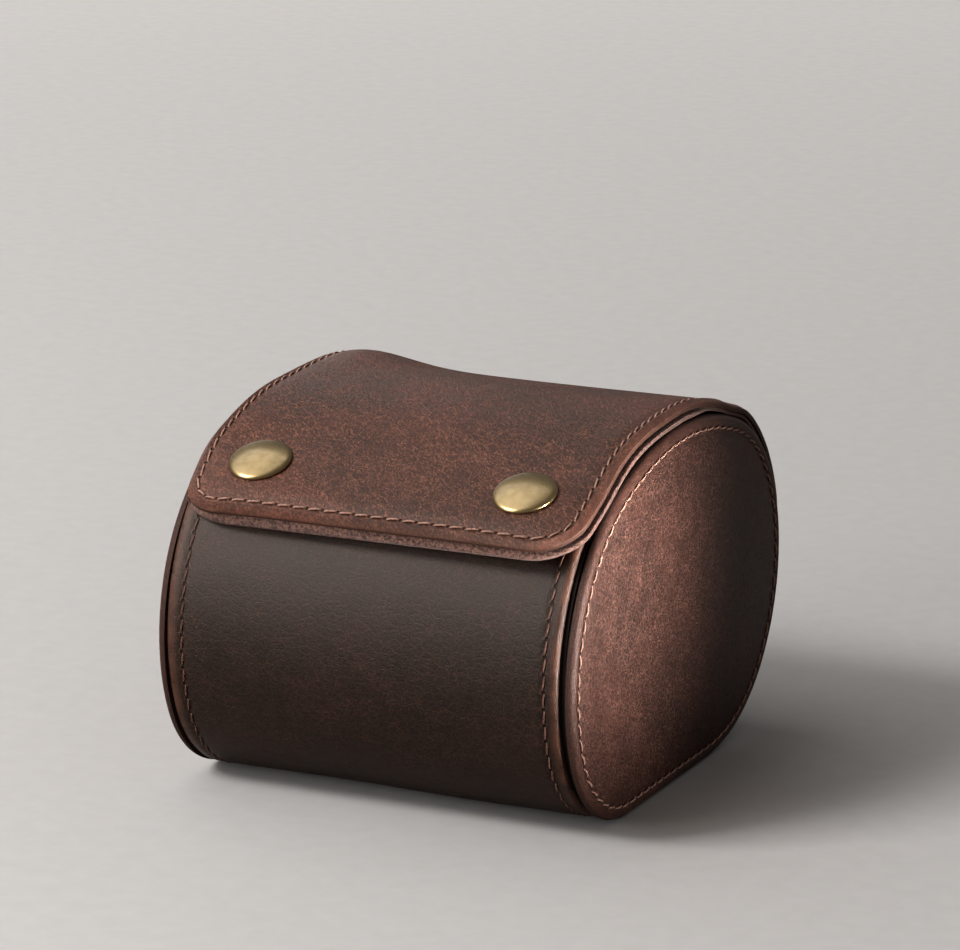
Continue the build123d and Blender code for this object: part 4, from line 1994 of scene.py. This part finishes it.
@dataclass
class Cushion:
    """The loose watch cushion: a foam roll in a soft cover between two stiff covered ends."""

    finishes: Finishes
    swell: float = 0.7
    slack: float = 0.5
    fillet: float = 0.55
    count: int = 96
    rings: int = 28
    frames: int = 20
    seam_inset: float = 2.0
    seam_rise: float = 0.12
    sewing: Sewing = field(default_factory=lambda: Sewing(pitch=2.6, thread=0.32, slant=5.0))

    def _ring(self, node: str, slack: float) -> tuple[Vector, Vector]:
        """Find a roll's middle and half sizes in mm from a node's box, drawn in by some slack."""
        low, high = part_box(node)
        return (low + high) / 2 / MM, (high - low) / 2 / MM - Vector((0, slack, slack))

    def _oval(self, name: str, middle: Vector, half: Vector, inset: float) -> Piece:
        """Lay an oval face across a roll's left side.

        Args:
            name: the piece's name.
            middle: the roll's middle, in mm.
            half: the roll's half sizes, in mm.
            inset: how far the oval is drawn in from them, in mm.

        Returns:
            The face, ready to be drawn out along X.
        """
        circle = {"vertices": self.count, "radius": 1.0, "fill_type": "NGON"}
        piece = start_piece(name, "circle", rotation=(0, pi / 2, 0), **circle)
        bpy.ops.object.transform_apply(rotation=True)
        ring = read_places(piece) * MM * np.array([0.0, half.y - inset, half.z - inset])
        write_places(piece, ring + np.array([middle.x - half.x, middle.y, middle.z]))
        return piece

    def _roll(self) -> Piece:
        """Build the cover's roll a little small, so that it can swell.

        Returns:
            The roll.
        """
        middle, half = self._ring("cushion_cover", self.slack)
        roll = self._oval("cushion_roll", middle, half, 0.0)
        step = (2 * half.x / self.rings * MM, 0, 0)
        with editing(roll, "FACE"):
            for _ in range(self.rings):
                bpy.ops.mesh.extrude_region_move(TRANSFORM_OT_translate={"value": step})
        return roll

    def _inflate(self, roll: Piece) -> None:
        """Let the cover swell under the foam's push, its end rings held by the stiff ends.

        Args:
            roll: the roll, which is reshaped.
        """
        places = read_places(roll)
        reach = np.abs(places[:, 0]).max()
        held = roll.vertex_groups.new(name="held")
        ends = np.nonzero(np.abs(places[:, 0]) > reach - self.fillet / 2)[0]
        held.add([int(number) for number in ends], 1.0, "ADD")
        only(roll)
        bpy.ops.object.modifier_add(type="CLOTH")
        cloth = roll.modifiers[-1]
        settings = {
            "quality": 6,
            "mass": 0.2,
            "tension_stiffness": 12,
            "compression_stiffness": 12,
            "bending_stiffness": 0.4,
            "use_pressure": True,
            "uniform_pressure_force": 4.0,
            "vertex_group_mass": "held",
        }
        for name, value in settings.items():
            setattr(cloth.settings, name, value)
        cloth.settings.effector_weights.gravity = 0.0
        for step in range(self.frames):
            bpy.context.scene.frame_set(step + 1)
        bpy.ops.object.modifier_apply(modifier=cloth.name)
        bpy.context.scene.frame_set(1)
        moved = read_places(roll) - places
        far = np.linalg.norm(moved, axis=1, keepdims=True)
        write_places(roll, places + moved * np.minimum(1.0, self.swell / np.maximum(far, TINY)))

    def _end(self) -> Piece:
        """Build the right end: a covered board with rounded rims, crowned over thin foam.

        Returns:
            The end.
        """
        middle, half = self._ring("cushion_right_end", 0.0)
        end = self._oval("cushion_right_cap", middle, half, self.fillet)
        if end.data.polygons[0].normal.x < 0:
            with editing(end, "FACE"):
                bpy.ops.mesh.flip_normals()
        rim = self.fillet
        # (step out, step in) of each ring, from the back rim round to the crowned middle
        rings = [
            (0.3 * rim, -0.7 * rim), (0.7 * rim, -0.3 * rim), (2 * half.x - 2.4 * rim, 0.0),
            (0.7 * rim, 0.3 * rim), (0.3 * rim, 0.7 * rim), (0.05, 0.8), (0.1, 2.2), (0.12, 4.0),
            (0.08, 6.0),
        ]
        with editing(end, "FACE"):
            for out, drawn in rings:
                step = (out * MM, 0, 0)
                bpy.ops.mesh.extrude_region_move(TRANSFORM_OT_translate={"value": step})
                if drawn:
                    size = (1.0, 1.0 - drawn / half.y, 1.0 - drawn / half.z)
                    bpy.ops.transform.resize(value=size, center_override=middle * MM)
            bpy.ops.mesh.poke()
        tidy_skin(end, corner=60.0)
        return end

    def _thread(self) -> Piece:
        """Sew the cover to the right end just inside its rim.

        Returns:
            The row of stitches.
        """
        middle, half = self._ring("cushion_right_end", self.seam_inset)
        face = middle.x + half.x + self.seam_rise
        turns = np.linspace(0.0, 2 * pi, 721)
        rim = np.column_stack([half.y * np.cos(turns), half.z * np.sin(turns)])
        lengths = np.append(0.0, np.cumsum(np.linalg.norm(np.diff(rim, axis=0), axis=1)))
        count = round(lengths[-1] / self.sewing.pitch)
        frames = []
        for number in range(count):
            turn = np.interp(lengths[-1] * (number + 0.5) / count, lengths, turns)
            spot = Vector((face, middle.y + half.y * cos(turn), middle.z + half.z * sin(turn)))
            along = Vector((0.0, -half.y * sin(turn), half.z * cos(turn))).normalized()
            frames.append(frame_at(spot, along, ALONG))
        return self.sewing.sew("cushion_right_thread", frames)

    def build(self) -> list[Piece]:
        """Build the cushion's cover and ends.

        Returns:
            The cushion's pieces.
        """
        roll = self._roll()
        self._inflate(roll)
        tidy_skin(roll, corner=50.0)
        self.finishes.put(roll, Finish.CUSHION, "cushion_fabric")
        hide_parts("cushion_cover")
        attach(roll, "cushion")
        core = frame["nodes"]["cushion_core"]
        self.finishes.put(core, Finish.FOAM)
        pieces = [roll, core]
        for side, (cap, thread) in both_ends([self._end(), self._thread()]).items():
            self.finishes.put(cap, Finish.CUSHION, "cushion_fabric")
            self.finishes.put(thread, Finish.DARKER_THREAD)
            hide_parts(f"cushion_{side}_end")
            for piece in (cap, thread):
                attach(piece, "cushion")
            pieces += [cap, thread]
        return pieces


# ---------------------------------------------------------------- studio


@dataclass(frozen=True)
class Lamp:
    """A soft lamp: its place, size and target in metres, its power and its spread in degrees."""

    name: str
    place: tuple[float, float, float]
    size: tuple[float, float]
    watts: float
    target: tuple[float, float, float] = (0.0, 0.0, 0.04)
    spread: float = 180.0

    def hang(self) -> None:
        """Hang the lamp and point it at its target."""
        light = bpy.data.lights.new(self.name, "AREA")
        light.shape = "RECTANGLE"
        light.size, light.size_y = self.size
        light.energy = self.watts
        light.spread = radians(self.spread)
        lamp = bpy.data.objects.new(self.name, light)
        lamp.visible_camera = False
        bpy.context.scene.collection.objects.link(lamp)
        place = Vector(self.place)
        turn = (Vector(self.target) - place).to_track_quat("-Z", "Y")
        lamp.matrix_world = Matrix.Translation(place) @ turn.to_matrix().to_4x4()


@dataclass
class Studio:
    """A plain pale floor, its radius in metres, soft lamps and the camera, its place in mm."""

    azimuth: float = 25.31
    elevation: float = 14.79
    roll: float = 0.18
    place: tuple[float, float, float] = (407.1, -860.75, 307.72)
    lens: float = 187.5
    floor_radius: float = 6.0
    floor_low: str = "#B1ADAA"
    floor_high: str = "#B5B1AE"
    floor_bounce: str = "#77706C"
    sky: str = "#E2DFDC"
    sky_strength: float = 0.21
    lamps: tuple[Lamp, ...] = (
        Lamp("key_lamp", (-0.54, -0.56, 0.74), (0.36, 0.36), 11.0),
        Lamp("front_lamp", (-0.5, -0.75, 0.28), (0.4, 0.4), 3.6),
        Lamp("top_lamp", (-0.45, 0.08, 0.92), (0.9, 0.8), 3.4),
        Lamp("rear_lamp", (-1.1, 1.1, 0.35), (0.9, 0.6), 1.6),
        Lamp("side_lamp", (0.2, -0.045, 0.03), (0.05, 0.05), 0.062, (0.044, -0.033, 0.055), 28.0),
    )

    def _floor(self) -> None:
        """Lay the floor: a wide disc of pale board."""
        size = {"vertices": 96, "radius": self.floor_radius, "fill_type": "NGON"}
        floor = start_piece("studio_floor", "circle", **size)
        with editing(floor, "FACE"):
            bpy.ops.mesh.inset(thickness=self.floor_radius / 3)
        material, tree = new_material("matt_painted_board")
        place = add_node(tree, "TexCoord", output="Object")
        mottle = add_node(tree, "TexNoise", {"Vector": place, "Scale": 220.0, "Detail": 2.0})
        share = add_node(tree, "MapRange", {0: mottle, 1: 0.3, 2: 0.7})
        pale = {0: share, 6: self.floor_low, 7: self.floor_high}
        pale = add_node(tree, "Mix", pale, 2, data_type="RGBA")
        # The floor throws back less light on the case than a pale floor would
        seen = add_node(tree, "LightPath", output="Is Camera Ray")
        colour = {0: seen, 6: self.floor_bounce, 7: pale}
        colour = add_node(tree, "Mix", colour, 2, data_type="RGBA")
        height = add_node(tree, "Math", {0: mottle, 1: 0.02}, operation="MULTIPLY")
        # Far from the lamps the floor keeps its pale colour for the camera
        away = add_node(tree, "VectorMath", {0: place}, "Value", operation="LENGTH")
        far = add_node(tree, "MapRange", {0: away, 1: 0.05, 2: 0.9, 3: 0.0, 4: 0.75})
        glow = add_node(tree, "Math", {0: far, 1: seen}, operation="MULTIPLY")
        shine = {"Emission Color": pale, "Emission Strength": glow}
        close_material(tree, height, {"Base Color": colour, "Roughness": 0.85, **shine})
        floor.data.materials.append(material)

    def _camera(self) -> None:
        """Place the camera."""
        data = bpy.data.cameras.new("camera")
        data.lens = self.lens
        data.sensor_width = 36.0
        camera = bpy.data.objects.new("camera", data)
        bpy.context.scene.collection.objects.link(camera)
        turn = (
            Matrix.Rotation(radians(self.azimuth), 4, "Z")
            @ Matrix.Rotation(radians(90.0 - self.elevation), 4, "X")
            @ Matrix.Rotation(radians(self.roll), 4, "Z")
        )
        camera.matrix_world = Matrix.Translation(Vector(self.place) * MM) @ turn
        bpy.context.scene.camera = camera

    def build(self) -> None:
        """Set up floor, lamps, sky and camera."""
        self._floor()
        for lamp in self.lamps:
            lamp.hang()
        world = bpy.data.worlds.new("studio_sky")
        world.use_nodes = True
        sky = world.node_tree.nodes["Background"]
        sky.inputs["Color"].default_value = to_linear(self.sky)
        sky.inputs["Strength"].default_value = self.sky_strength
        bpy.context.scene.world = world
        bpy.context.scene.view_settings.view_transform = "Standard"
        self._camera()
        log.info("studio")


def write_sizes() -> None:
    """Bring the view layer up to date."""
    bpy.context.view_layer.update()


def main() -> None:
    """Build the case's dressing, light it and place the camera."""
    logging.basicConfig(level=logging.INFO, format="%(name)s: %(message)s")
    shape = CaseShape()
    finishes = Finishes()
    makers = (
        Wrap(shape, finishes),
        EndPanels(shape, finishes),
        Flap(shape, finishes),
        PressSnaps(shape, finishes),
        Cushion(finishes),
    )
    for maker in makers:
        for piece in maker.build():
            log.info("%s, %d faces", piece.name, len(piece.data.polygons))
    Studio().build()
    write_sizes()


if __name__ == "__main__":
    main()
